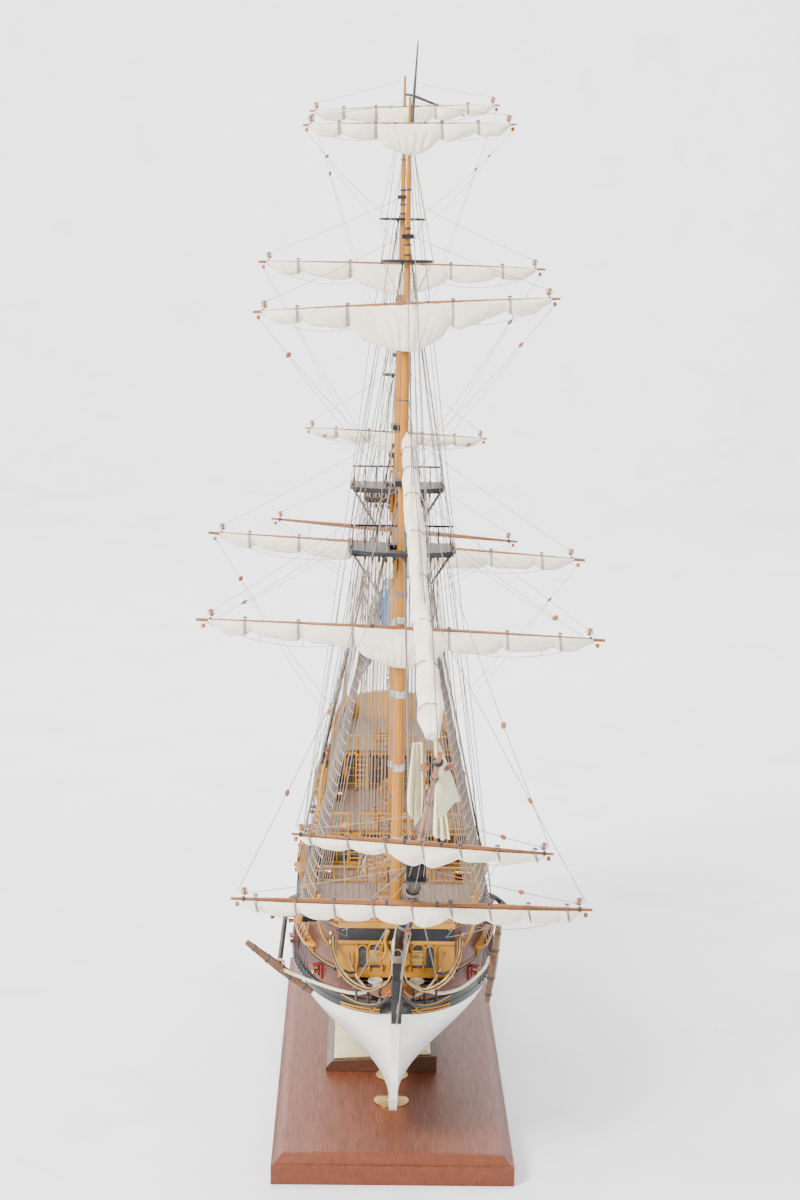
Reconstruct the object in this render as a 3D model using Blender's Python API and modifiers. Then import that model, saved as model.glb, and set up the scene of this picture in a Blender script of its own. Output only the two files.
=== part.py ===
"""Three-masted model sailing ship on a wooden display board.

Metres, +Z up, bow towards -Y, starboard towards -X. The origin is the centre of the
board's underside. The hull is a lofted shell with separate keel, wales, topsides and
decks; every yard swivels about its mast together with the sail furled under it.
"""

import math

import bmesh
import bpy
from mathutils import Matrix, Vector

GAP = 0.0003                    # clearance between touching pieces

# Display board, pedestals and nameplate
BOARD_WIDTH = 0.150
BOARD_LENGTH = 0.389
BOARD_EDGE_TOP = 0.0125
BOARD_HEIGHT = 0.018
BOARD_MOULDING = 0.008
PEDESTAL_Y = 0.106
FLANGE_RADIUS = 0.0114
PLATE_LENGTH = 0.110
PLATE_X = (-0.0435, 0.031)

# Hull
KEEL_BOTTOM = 0.0325
KEEL_TOP = 0.038
KEEL_HALF_WIDTH = 0.0023
HALF_BEAM = 0.0655
STEM_FOOT_Y = -0.150
STEM_RAKE = 0.056
STEM_TOP_Z = 0.150
STERN_FOOT_Y = 0.212
STERN_POST_RAKE = 0.125
STERNPOST_DEPTH = 0.0055
RUDDER_GAP = 0.0015             # room for the blade's front edge to turn
COUNTER_Z = 0.118
COUNTER_RAKE = 0.45
WALE_HEIGHT = 0.009
WALE_PROUD = 0.0013
SIDE_THICKNESS = 0.0022
HULL_THICKNESS = 0.003
TUMBLEHOME = 0.21
BULKHEAD_Y = -0.1853
LOW_BOW_RAIL = 0.131

# Deck levels (top surface), the rail above each, and where each starts along Y
DECK_THICKNESS = 0.0016
MAIN_DECK_Z = 0.138
FORECASTLE_Z = 0.156
QUARTER_Z = 0.163
POOP_Z = 0.190
FORECASTLE_RAIL = 0.166
WAIST_RAIL = 0.153
QUARTER_RAIL = 0.177
POOP_RAIL = 0.204
FORECASTLE_END = -0.070
QUARTER_START = 0.028
POOP_START = 0.150

# Masts: station, radius, heel height, head height of the lower mast, head of the upper mast
MASTS = {
    "fore": dict(y=-0.150, r=0.0035, heel=0.124, head=0.431, top=0.388, truck=0.656, half=0.0325),
    "main": dict(y=0.042, r=0.0036, heel=0.124, head=0.445, top=0.4015, truck=0.677, half=0.0325),
    "mizzen": dict(y=0.165, r=0.0028, heel=0.150, head=0.412, top=0.378, truck=0.520, half=0.0235),
}
TOP_THICKNESS = 0.0025
DOUBLING = 0.0080               # the upper mast stands this far forward of the lower mast

# Yards: mast, height, half length, radius, tilt in degrees (port end up), sail depth, bunt depth
YARDS = {
    "fore_course": ("fore", 0.3405, 0.124, 0.0023, -2.2, 0.0115, 0.024),
    "fore_topsail": ("fore", 0.536, 0.0905, 0.0019, 3.4, 0.0105, 0.027),
    "fore_topgallant": ("fore", 0.640, 0.062, 0.0014, 1.1, 0.0085, 0.017),
    "main_course": ("main", 0.362, 0.1295, 0.0024, -3.4, 0.0115, 0.022),
    "main_topsail": ("main", 0.553, 0.096, 0.0020, -0.6, 0.0105, 0.020),
    "main_topgallant": ("main", 0.656, 0.063, 0.0014, 2.7, 0.0085, 0.014),
    "crossjack": ("mizzen", 0.355, 0.0915, 0.0018, -4.6, None, None),
    "mizzen_topsail": ("mizzen", 0.4275, 0.0665, 0.0015, -2.6, 0.0085, 0.014),
}
HEAD_YARDS = {
    "spritsail": (-0.290, 0.2104, 0.101, 0.0021, -1.2, 0.0090, 0.0115),
    "sprit_topsail": (-0.360, 0.2655, 0.069, 0.0016, -3.9, 0.0065, 0.0120),
}
SAIL_HALF_THICKNESS = 0.0042

# Bowsprit and jibboom
STEEVE = math.radians(34.0)
SPRIT_YAW = 0.046               # the spars lead slightly to port
SPRIT_HEEL = Vector((0.0015, -0.1868, 0.1482))
SPRIT_LENGTH = 0.160
SPRIT_RADIUS = 0.0042
JIBBOOM_START = 0.088
JIBBOOM_LENGTH = 0.240
JIBBOOM_RADIUS = 0.0019

STATIONS = [0, 0.008, 0.025, 0.05, 0.085, 0.13, 0.19, 0.26, 0.35, 0.46, 0.58, 0.70, 0.80, 0.88,
            0.94, 0.98, 1]
HULL_ROWS = [0, 0.06, 0.14, 0.24, 0.36, 0.5, 0.65, 0.82, 1]


# ---------------------------------------------------------------- scene and helpers

def clear_scene():
    for obj in list(bpy.data.objects):
        bpy.data.objects.remove(obj, do_unlink=True)


def new_collection(name):
    collection = bpy.data.collections.new(name)
    bpy.context.scene.collection.children.link(collection)
    return collection


def material(name, color, roughness=0.5, metallic=0.0):
    made = bpy.data.materials.get(name)
    if made:
        return made
    made = bpy.data.materials.new(name)
    made.use_nodes = True
    shader = made.node_tree.nodes["Principled BSDF"]
    shader.inputs["Base Color"].default_value = (*color, 1)
    shader.inputs["Roughness"].default_value = roughness
    shader.inputs["Metallic"].default_value = metallic
    made.diffuse_color = (*color, 1)
    return made


def add_object(name, data, look, collection=None):
    obj = bpy.data.objects.new(name, data)
    (collection or SHIP).objects.link(obj)
    if look:
        data.materials.append(look)
    return obj


def mesh_from(bm, name):
    mesh = bpy.data.meshes.new(name)
    bm.to_mesh(mesh)
    bm.free()
    return mesh


def smooth_shade(mesh, angle=35):
    mesh.shade_smooth()
    mesh.set_sharp_from_angle(angle=math.radians(angle))


def smoothstep(t):
    t = min(max(t, 0.0), 1.0)
    return t * t * (3 - 2 * t)


def lerp(a, b, t):
    return a + (b - a) * t


def loft(name, rings, look, smooth=True):
    """A closed solid through rings of equally many points, with a cap at each end."""
    bm = bmesh.new()
    rows = [[bm.verts.new(p) for p in ring] for ring in rings]
    count = len(rings[0])
    for a, b in zip(rows, rows[1:]):
        for i in range(count):
            j = (i + 1) % count
            bm.faces.new((a[i], a[j], b[j], b[i]))
    bm.faces.new(rows[0][::-1])
    bm.faces.new(rows[-1])
    bmesh.ops.recalc_face_normals(bm, faces=bm.faces)
    mesh = mesh_from(bm, name)
    if smooth:
        smooth_shade(mesh)
    return add_object(name, mesh, look)


def turned(name, profile, look, steps=12, matrix=None, collection=None):
    """A turned solid about Z from (radius, height) points, listed top to bottom."""
    mesh = bpy.data.meshes.new(name)
    points = [(r, 0, z) for r, z in profile]
    mesh.from_pydata(points, [(i, i + 1) for i in range(len(points) - 1)], [])
    obj = add_object(name, mesh, look, collection)
    screw = obj.modifiers.new("Turn", "SCREW")
    screw.steps = steps
    screw.render_steps = steps
    screw.use_merge_vertices = True
    screw.merge_threshold = 0.00001
    screw.use_smooth_shade = True
    if matrix:
        obj.matrix_world = matrix
    return obj


def spar(name, a, b, radii, look, steps=10):
    """A tapered round spar from a to b; radii are spread evenly along it."""
    a, b = Vector(a), Vector(b)
    length = (b - a).length
    count = len(radii) - 1
    profile = [(0, length)]
    profile += [(r, length * (1 - i / count)) for i, r in enumerate(reversed(radii))]
    profile += [(0, 0)]
    turn = (b - a).to_track_quat("Z", "Y").to_matrix().to_4x4()
    return turned(name, profile, look, steps, Matrix.Translation(a) @ turn)


def tube(name, points, radius, look):
    curve = bpy.data.curves.new(name, "CURVE")
    curve.dimensions = "3D"
    curve.bevel_depth = radius
    curve.bevel_resolution = 2
    curve.use_fill_caps = True
    spline = curve.splines.new("POLY")
    spline.points.add(len(points) - 1)
    for point, co in zip(spline.points, points):
        point.co = (*co, 1)
    return add_object(name, curve, look)


def smooth_route(points, count):
    """Points along a Catmull-Rom curve through the given route."""
    route = [Vector(p) for p in points]
    route = [2 * route[0] - route[1]] + route + [2 * route[-1] - route[-2]]
    result = []
    spans = len(points) - 1
    for k in range(count + 1):
        at = min(k * spans / count, spans - 1e-9)
        i = int(at)
        t = at - i
        p0, p1, p2, p3 = route[i:i + 4]
        result.append(0.5 * (2 * p1 + (p2 - p0) * t + (2 * p0 - 5 * p1 + 4 * p2 - p3) * t * t
                             + (3 * p1 - p0 - 3 * p2 + p3) * t ** 3))
    return result


def plate(name, outline, thickness, look, matrix=None, collection=None):
    """A flat outline in XY, extruded upwards by the thickness."""
    bm = bmesh.new()
    face = bm.faces.new([bm.verts.new((x, y, 0)) for x, y in outline])
    raised = bmesh.ops.extrude_face_region(bm, geom=[face])
    verts = [v for v in raised["geom"] if isinstance(v, bmesh.types.BMVert)]
    bmesh.ops.translate(bm, verts=verts, vec=(0, 0, thickness))
    bmesh.ops.recalc_face_normals(bm, faces=bm.faces)
    obj = add_object(name, mesh_from(bm, name), look, collection)
    if matrix:
        obj.matrix_world = matrix
    return obj


def box(name, low, high, look, collection=None):
    bm = bmesh.new()
    size = [b - a for a, b in zip(low, high)]
    centre = [(a + b) / 2 for a, b in zip(low, high)]
    bmesh.ops.create_cube(bm, size=1, matrix=Matrix.Translation(centre) @ Matrix.Diagonal((*size, 1)))
    return add_object(name, mesh_from(bm, name), look, collection)


def cylinder(name, radius, length, matrix, look=None, collection=None, segments=14):
    bm = bmesh.new()
    bmesh.ops.create_cone(bm, cap_ends=True, segments=segments, radius1=radius, radius2=radius,
                          depth=length, matrix=matrix)
    return add_object(name, mesh_from(bm, name), look, collection)


def helper(obj):
    obj.hide_render = True
    obj.display_type = "WIRE"
    return obj


def boolean(obj, other, operation):
    modifier = obj.modifiers.new(other.name, "BOOLEAN")
    modifier.operation = operation
    modifier.solver = "EXACT"
    modifier.object = helper(other)


def bevel(obj, width, segments=1):
    modifier = obj.modifiers.new("Edge", "BEVEL")
    modifier.width = width
    modifier.segments = segments
    modifier.limit_method = "ANGLE"


# ---------------------------------------------------------------- materials

def wood_brown():
    return material("mahogany", (0.30, 0.11, 0.05), 0.35)


def walnut():
    return material("walnut", (0.12, 0.055, 0.035), 0.45)


def yard_wood():
    return material("yard_wood", (0.42, 0.18, 0.08), 0.5)


def mast_wood():
    return material("mast_wood", (0.72, 0.36, 0.08), 0.4)


def deck_wood():
    return material("deck_wood", (0.28, 0.19, 0.17), 0.6)


def ochre():
    return material("ochre", (0.75, 0.42, 0.08), 0.45)


def black_paint():
    return material("black_paint", (0.02, 0.023, 0.028), 0.4)


def white_paint():
    return material("white_paint", (0.86, 0.85, 0.82), 0.3)


def brass():
    return material("brass", (0.78, 0.56, 0.25), 0.2, 1.0)


def pale_brass():
    return material("pale_brass", (0.80, 0.72, 0.42), 0.35, 0.6)


def canvas():
    return material("canvas", (0.88, 0.84, 0.75), 0.85)


def iron():
    return material("iron", (0.06, 0.06, 0.065), 0.45, 0.6)


def hemp():
    return material("hemp", (0.78, 0.70, 0.55), 0.9)


# ---------------------------------------------------------------- hull form

def stem_y(z):
    t = min(max((z - KEEL_TOP) / (STEM_TOP_Z - KEEL_TOP), 0), 1)
    return STEM_FOOT_Y - STEM_RAKE * math.sqrt(1 - (1 - t) ** 2)


def stern_y(z):
    return STERN_FOOT_Y + STERN_POST_RAKE * (min(z, COUNTER_Z) - KEEL_TOP) \
        + COUNTER_RAKE * max(z - COUNTER_Z, 0)


def along(s, z):
    return lerp(stem_y(z), stern_y(z), s)


def wale_z(s):
    """Height of the wale's lower edge, lowest a little forward of midships."""
    if s < 0.47:
        return 0.103 + 0.0105 * ((0.47 - s) / 0.47) ** 1.2
    return 0.103 + 0.017 * ((s - 0.47) / 0.53) ** 1.6


def half_breadth(s, v):
    """Half breadth at station s (0 stem, 1 stern) and row v (0 keel, 1 wale)."""
    middle = (1 - (1 - v) ** 2) ** 0.75
    entry_length = 0.62 - 0.26 * v
    entry_power = 0.46 + 1.28 * (1 - v) ** 1.3
    entry = (1 - max(1 - s / entry_length, 0) ** 2) ** entry_power
    transom = 0.03 + 0.67 * smoothstep((v - 0.5) / 0.5)
    run_power = 0.6 + 0.8 * (1 - v)
    run = transom + (1 - transom) * (1 - max(1 - (1 - s) / 0.5, 0) ** 2) ** run_power
    return KEEL_HALF_WIDTH + (HALF_BEAM - KEEL_HALF_WIDTH) * middle * entry * run


def hull_point(s, v):
    z = lerp(KEEL_TOP, wale_z(s), v)
    return half_breadth(s, v), along(s, z), z


def side_point(s, z):
    """Plan position of the outer topside at station s and height z above the wale."""
    inset = TUMBLEHOME * smoothstep((s - 0.05) / 0.30) * max(z - wale_z(s) - WALE_HEIGHT, 0)
    return Vector((half_breadth(s, 1) - inset, along(s, z)))


def side_offset(s, z, distance):
    """The topside's plan position moved outwards by a distance."""
    step = 0.002
    a = side_point(max(s - step, 0), z)
    b = side_point(min(s + step, 1), z)
    normal = Vector((b.y - a.y, a.x - b.x)).normalized()
    return side_point(s, z) + normal * distance


def station_at(y, z):
    return (y - stem_y(z)) / (stern_y(z) - stem_y(z))


def mirrored(points):
    return [(-x, y) for x, y in reversed(points)]


# ---------------------------------------------------------------- display stand

def make_baseboard():
    w, l = BOARD_WIDTH / 2, BOARD_LENGTH / 2
    rise = BOARD_HEIGHT - BOARD_EDGE_TOP
    profile = [(0, 0), (0, BOARD_EDGE_TOP), (0.0018, BOARD_EDGE_TOP)]
    for k in range(5):
        turn = k / 4
        profile.append((lerp(0.0018, BOARD_MOULDING, turn),
                        BOARD_EDGE_TOP + rise * smoothstep(0.12 + 0.88 * turn)))
    rings = [[(x * (w - i), y * (l - i), z) for x, y in ((-1, -1), (1, -1), (1, 1), (-1, 1))]
             for i, z in profile]
    loft("baseboard", rings, wood_brown(), smooth=False)


def make_pedestal(name, y):
    base = BOARD_HEIGHT + GAP
    cup = KEEL_BOTTOM + 0.0042
    profile = [(0, cup - 0.0008), (0.0085, cup - 0.0002), (0.0104, cup), (0.0098, cup - 0.0012),
               (0.0062, cup - 0.0042), (0.0032, cup - 0.0072), (0.0026, cup - 0.0090),
               (0.0026, base + 0.0034), (0.0036, base + 0.0021), (0.0085, base + 0.0014),
               (FLANGE_RADIUS, base + 0.0009), (FLANGE_RADIUS, base), (0, base)]
    pedestal = turned(name, profile, brass(), 20, Matrix.Translation((0, y, 0)))
    slot = KEEL_HALF_WIDTH + GAP
    cutter = box(name + "_slot", (-slot, y - 0.02, KEEL_BOTTOM - GAP), (slot, y + 0.02, 0.06),
                 None, CUTTERS)
    boolean(pedestal, cutter, "DIFFERENCE")


def nameplate_top(x):
    """Height of the sloping top of the nameplate block."""
    return BOARD_HEIGHT + lerp(0.007, 0.0115, (x - PLATE_X[0]) / (PLATE_X[1] - PLATE_X[0]))


def make_nameplate():
    base = BOARD_HEIGHT + GAP
    left, right = PLATE_X
    section = [(left, base), (right, base), (right, nameplate_top(right)),
               (left + 0.004, nameplate_top(left + 0.004)), (left, base + 0.0022)]
    half = PLATE_LENGTH / 2
    loft("nameplate_block", [[(x, y, z) for x, z in section] for y in (-half, half)], walnut(),
         smooth=False)
    a, b, end = left + 0.0055, right - 0.004, half - 0.003
    rings = [[(a, y, nameplate_top(a) + GAP), (b, y, nameplate_top(b) + GAP),
              (b, y, nameplate_top(b) + 0.0012), (a, y, nameplate_top(a) + 0.0012)]
             for y in (-end, end)]
    loft("nameplate_plate", rings, pale_brass(), smooth=False)


# ---------------------------------------------------------------- hull pieces

def make_keel_and_stem():
    """Keel, stem, knee of the head and sternpost: one flat outline on the centreline."""
    heights = [KEEL_TOP + (STEM_TOP_Z - 0.004 - KEEL_TOP) * (k / 9) ** 1.7 for k in range(10)]
    inner = [(stem_y(z) - GAP * 2, z - GAP) for z in heights]
    outer = [(-0.2400, 0.1580), (-0.2460, 0.1500), (-0.2425, 0.1380), (-0.2330, 0.1270),
             (-0.2180, 0.1130), (-0.2110, 0.1010)]
    outer += [(stem_y(z) - 0.0062, z - 0.003) for z in (0.088, 0.070, 0.055, 0.045, 0.040)]
    outer += [(STEM_FOOT_Y - 0.004, KEEL_BOTTOM + 0.0006), (STEM_FOOT_Y, KEEL_BOTTOM)]
    aft = [(STERN_FOOT_Y + STERNPOST_DEPTH, KEEL_BOTTOM),
           (stern_y(COUNTER_Z) + STERNPOST_DEPTH, COUNTER_Z),
           (stern_y(COUNTER_Z) + 2 * GAP, COUNTER_Z), (stern_y(KEEL_TOP) + 2 * GAP, KEEL_TOP),
           (stern_y(KEEL_TOP) + 2 * GAP, KEEL_TOP - GAP)]
    outline = [(-0.2160, 0.1480)] + outer + aft + inner
    stand = Matrix(((0, 0, 1, -KEEL_HALF_WIDTH), (1, 0, 0, 0), (0, 1, 0, 0), (0, 0, 0, 1)))
    plate("keel_and_stem", outline, 2 * KEEL_HALF_WIDTH, white_paint(), stand)


def hull_ring(s):
    """Closed section of the planking: outside up, over the rim, and round the hollow."""
    outer = [Vector(hull_point(s, v)) for v in HULL_ROWS]
    rim = outer[-1]
    hollow = smoothstep((s - 0.05) / 0.15) * smoothstep((0.97 - s) / 0.10)
    inner = []
    for f in (0, 0.35, 0.75):
        v = 1 - 0.72 * f
        x, y, z = hull_point(s, v)
        deep = Vector((max(x - HULL_THICKNESS, 0.0012), y, z))
        flat = Vector((rim.x * (0.86 - 0.45 * f), rim.y, rim.z))
        inner.append(flat.lerp(deep, hollow))
    floor = Vector(hull_point(s, 0.22))
    flat = Vector((rim.x * 0.12, rim.y, rim.z))
    inner.append(flat.lerp(Vector((0.001, floor.y, floor.z)), hollow))
    half = outer + inner
    return half + [Vector((-p.x, p.y, p.z)) for p in reversed(half)]


def make_lower_hull():
    loft("lower_hull", [hull_ring(s) for s in STATIONS], white_paint())


def wale_ring(s, sign):
    low, high = wale_z(s) + GAP, wale_z(s) + WALE_HEIGHT
    ring = []
    for z, out in ((low, WALE_PROUD), (high, WALE_PROUD), (high, -0.0016), (low, -0.0016)):
        p = side_offset(s, z, out)
        ring.append((sign * p.x, p.y, z))
    return ring


def side_stations():
    """Stations shared by the wales and the topsides: they start beside the stem."""
    return [0.014, 0.022, 0.034] + [s for s in STATIONS if s > 0.04]


def make_wales():
    stations = side_stations()
    for name, sign in (("wale_starboard", -1), ("wale_port", 1)):
        loft(name, [wale_ring(s, sign) for s in stations], black_paint())


def rail_z(y):
    if y < BULKHEAD_Y + 0.0002:
        return LOW_BOW_RAIL
    if y < FORECASTLE_END:
        return FORECASTLE_RAIL
    if y < QUARTER_START:
        return WAIST_RAIL
    if y < POOP_START:
        return QUARTER_RAIL
    return POOP_RAIL


def side_ring(s, rail, sign):
    foot = wale_z(s) + WALE_HEIGHT + 2 * GAP
    heights = [lerp(foot, rail, w) for w in (0, 0.33, 0.66, 1)]
    outer = [(side_offset(s, z, 0), z) for z in heights]
    inner = [(side_offset(s, z, -SIDE_THICKNESS), z) for z in reversed(heights)]
    return [(sign * p.x, p.y, z) for p, z in outer + inner]


def make_topsides():
    breaks = (BULKHEAD_Y + 0.0003, FORECASTLE_END, QUARTER_START, POOP_START)
    level = 0.150
    steps = []
    for y in breaks:
        s = station_at(y, level)
        steps += [(s - 0.0012, rail_z(y - 0.002)), (s + 0.0012, rail_z(y + 0.002))]
    plain = [(s, rail_z(along(s, level))) for s in side_stations()
             if all(abs(s - t) > 0.006 for t, _ in steps)]
    sections = sorted(plain + steps)
    for name, sign in (("topside_starboard", -1), ("topside_port", 1)):
        loft(name, [side_ring(s, rail, sign) for s, rail in sections], wood_brown())


def make_transom():
    """The flat stern board above the wale, following the sides and arched at the top."""
    half = []
    for z in (0.1295, 0.145, 0.160, 0.175, 0.190, 0.204):
        half.append((side_point(1, z).x, z))
    half += [(0.018, 0.2085), (0.0, 0.2105)]
    outline = half + [(-x, z) for x, z in reversed(half[:-1])]
    rings = [[(x, stern_y(z) + out, z) for x, z in outline] for out in (2 * GAP, 0.0028)]
    loft("transom", rings, ochre(), smooth=False)


def post_face_y(z):
    """Aft face of the sternpost, which the rudder hangs along."""
    rake = (stern_y(COUNTER_Z) - STERN_FOOT_Y) / (COUNTER_Z - KEEL_BOTTOM)
    return STERN_FOOT_Y + STERNPOST_DEPTH + rake * (z - KEEL_BOTTOM)


def make_rudder():
    axis_top = 0.1195
    front = [(post_face_y(z) + RUDDER_GAP, z) for z in (KEEL_BOTTOM + 0.001, axis_top)]
    outline = [front[0], (STERN_FOOT_Y + 0.0300, KEEL_BOTTOM + 0.001),
               (STERN_FOOT_Y + 0.0325, 0.060), (STERN_FOOT_Y + 0.0290, 0.085),
               (STERN_FOOT_Y + 0.0270, 0.088), (STERN_FOOT_Y + 0.0250, 0.106),
               (STERN_FOOT_Y + 0.0260, axis_top), front[1]]
    half = 0.0017
    stand = Matrix(((0, 0, 1, -half), (1, 0, 0, 0), (0, 1, 0, 0), (0, 0, 0, 1)))
    plate("rudder", outline, 2 * half, white_paint(), stand)


def deck_outline(z, start, end):
    """Deck edge a gap inside the topsides between two stations."""
    first, last = station_at(start, z), station_at(end, z)
    inner = [s for s in STATIONS if first + 0.012 < s < last - 0.012]
    edge = []
    for s in [first] + inner + [last]:
        p = side_offset(s, z, -SIDE_THICKNESS - 0.0005)
        edge.append((p.x, min(max(p.y, start), end)))
    return edge + mirrored(edge)


def mast_hole(name, y, radius, x=0.0):
    return cylinder(name, radius + GAP, 0.03, Matrix.Translation((x, y, 0)), None, CUTTERS)


def make_deck(name, z, start, end, masts):
    outline = deck_outline(z, start, end)
    deck = plate(name, outline, DECK_THICKNESS, deck_wood(),
                 Matrix.Translation((0, 0, z - DECK_THICKNESS)))
    for mast in masts:
        hole = mast_hole(f"{name}_{mast}_hole", MASTS[mast]["y"], MASTS[mast]["r"])
        hole.location.z = z
        boolean(deck, hole, "DIFFERENCE")


def make_decks():
    front = BULKHEAD_Y + 0.0008
    make_deck("main_deck", MAIN_DECK_Z, front, stern_y(MAIN_DECK_Z) - 0.0006, ["fore", "main"])
    make_deck("forecastle_deck", FORECASTLE_Z, front, FORECASTLE_END - 0.0008, ["fore"])
    make_deck("quarter_deck", QUARTER_Z, QUARTER_START + 0.0008, stern_y(QUARTER_Z) - 0.0006,
              ["main", "mizzen"])
    make_deck("poop_deck", POOP_Z, POOP_START + 0.0008, stern_y(POOP_Z) - 0.0006, ["mizzen"])


def sprit_direction():
    return Vector((SPRIT_YAW, -1, 0)).normalized() * math.cos(STEEVE) + Vector(
        (0, 0, math.sin(STEEVE)))


def make_beakhead_bulkhead():
    """Flat bulkhead across the bow, drilled for the bowsprit's heel."""
    half = side_point(station_at(BULKHEAD_Y, 0.150), 0.150).x
    thickness = 0.002
    board = box("beakhead_bulkhead", (-half, BULKHEAD_Y - thickness, LOW_BOW_RAIL + 0.0006),
                (half, BULKHEAD_Y, FORECASTLE_RAIL), ochre())
    turn = sprit_direction().to_track_quat("Z", "Y").to_matrix().to_4x4()
    hole = cylinder("bulkhead_hole", SPRIT_RADIUS + 0.0005, 0.03,
                    Matrix.Translation(SPRIT_HEEL) @ turn, None, CUTTERS, 16)
    boolean(board, hole, "DIFFERENCE")


# ---------------------------------------------------------------- deck fittings

def make_wheel():
    """Steering wheel with its barrel, turning about the fore-and-aft axis."""
    y, z = 0.078, QUARTER_Z + 0.0130
    bm = bmesh.new()
    major, minor = 0.0068, 0.0009
    rings = 20
    turned_rim = []
    for i in range(rings):
        a = 2 * math.pi * i / rings
        ring = []
        for j in range(4):
            b = math.pi / 4 + math.pi / 2 * j
            r = major + minor * math.cos(b) * 1.2
            ring.append(bm.verts.new((r * math.cos(a), minor * math.sin(b), r * math.sin(a))))
        turned_rim.append(ring)
    for i in range(rings):
        a, b = turned_rim[i], turned_rim[(i + 1) % rings]
        for j in range(4):
            k = (j + 1) % 4
            bm.faces.new((a[j], a[k], b[k], b[j]))
    bmesh.ops.recalc_face_normals(bm, faces=bm.faces)
    wheel = add_object("steering_wheel", mesh_from(bm, "steering_wheel"), walnut())
    wheel.location = (0, y, z)
    across = Matrix.Rotation(math.pi / 2, 4, "Y")
    for k in range(4):
        arm = cylinder(f"wheel_spoke_{k}", 0.00055, 0.0200,
                       Matrix.Translation((0, y, z)) @ Matrix.Rotation(k * math.pi / 4, 4, "Y")
                       @ across, None, CUTTERS, 6)
        boolean(wheel, arm, "UNION")
    barrel = cylinder("wheel_barrel", 0.0022, 0.0120,
                      Matrix.Translation((0, y + 0.004, z)) @ Matrix.Rotation(math.pi / 2, 4, "X"),
                      None, CUTTERS, 10)
    boolean(wheel, barrel, "UNION")


def make_capstan():
    base = QUARTER_Z + GAP
    profile = [(0, 0.0140), (0.0058, 0.0138), (0.0062, 0.0130), (0.0062, 0.0112),
               (0.0050, 0.0105), (0.0034, 0.0090), (0.0034, 0.0040), (0.0048, 0.0022),
               (0.0056, 0.0020), (0.0056, 0), (0, 0)]
    turned("capstan", [(r, h + base) for r, h in profile], walnut(), 12,
           Matrix.Translation((0, 0.112, 0)))


def make_boat():
    """Open boat stowed fore and aft in the waist."""
    centre = Vector((-0.010, -0.021, MAIN_DECK_Z + 0.0040))
    length, half_width, depth = 0.072, 0.0105, 0.0095
    rings = []
    for k in range(11):
        t = k / 10
        y = centre.y + length * (t - 0.5)
        full = max(1 - (2 * t - 1) ** 2 * 0.97, 0) ** (0.55 if t > 0.5 else 0.65)
        rise = 0.0030 * (2 * t - 1) ** 2
        top = centre.z + depth + rise
        keel = centre.z + 0.0035 * (2 * t - 1) ** 4
        outer = [(half_width * full * f + 0.0006, lerp(keel, top, h))
                 for f, h in ((0, 0), (0.62, 0.18), (0.90, 0.5), (1, 1))]
        hollow = 0.95 * min(1, full * 1.15)
        inner = [(max(half_width * full * f - 0.0009, 0.0004), top - (top - keel - 0.0014) * d)
                 for f, d in ((1, 0), (0.86, 0.55 * hollow), (0.45, hollow))]
        half = outer + inner
        ring = [(centre.x + x, y, z) for x, z in half]
        ring += [(centre.x - x, y, z) for x, z in reversed(half)]
        rings.append(ring)
    loft("ships_boat", rings, ochre())


# ---------------------------------------------------------------- masts and tops

def make_mast(mast):
    d = MASTS[mast]
    r = d["r"]
    spar(f"{mast}_lower_mast", (0, d["y"], d["heel"]), (0, d["y"], d["head"]),
         (r * 0.96, r, r, r * 0.97, r * 0.93, r * 0.86), mast_wood(), 12)
    upper_r = r * 0.74
    spar(f"{mast}_upper_mast", (0, d["y"] - DOUBLING, d["top"] - 0.004),
         (0, d["y"] - DOUBLING, d["truck"]),
         (upper_r, upper_r, upper_r * 0.95, upper_r * 0.86, upper_r * 0.66, upper_r * 0.50,
          upper_r * 0.30), mast_wood(), 10)


def make_top(mast):
    """D-shaped platform: square aft, rounded forward, open in the middle for the masts."""
    d = MASTS[mast]
    half, depth = d["half"], d["half"] * 1.30
    centre = d["y"] - DOUBLING / 2
    aft = centre + depth * 0.48
    outline = [(half, aft), (half, centre - depth * 0.10)]
    for k in range(1, 8):
        a = math.pi * k / 8
        outline.append((half * math.cos(a), centre - depth * 0.10 - depth * 0.42 * math.sin(a)))
    outline += [(-half, centre - depth * 0.10), (-half, aft)]
    top = plate(f"{mast}_top", outline, TOP_THICKNESS, black_paint(),
                Matrix.Translation((0, 0, d["top"])))
    hole = box(f"{mast}_lubber_hole", (-0.0075, centre - 0.0105, d["top"] - 0.01),
               (0.0075, centre + 0.0105, d["top"] + 0.01), None, CUTTERS)
    boolean(top, hole, "DIFFERENCE")


# ---------------------------------------------------------------- yards and furled sails

def yard_place(name):
    """Centre, half length, radius, tilt, sail depth and bunt depth of a yard."""
    if name in HEAD_YARDS:
        y, z, half, r, tilt, depth, bunt = HEAD_YARDS[name]
        x = SPRIT_HEEL.x + SPRIT_YAW * (SPRIT_HEEL.y - y)
        return Vector((x, y, z)), half, r, tilt, depth, bunt
    mast, z, half, r, tilt, depth, bunt = YARDS[name]
    d = MASTS[mast]
    upper = z > d["top"]
    y = d["y"] - (DOUBLING if upper else 0)
    mast_r = d["r"] * (0.74 if upper else 1)
    return Vector((0, y - mast_r - r - 0.0006, z)), half, r, tilt, depth, bunt


def make_yard(name, centre, half, r, turn):
    radii = [r * 0.42, r * 0.62, r * 0.86, r, r, r, r * 0.86, r * 0.62, r * 0.42]
    spar(f"{name}_yard", centre + turn @ Vector((-half, 0, 0)),
         centre + turn @ Vector((half, 0, 0)), radii, yard_wood(), 8)


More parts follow.
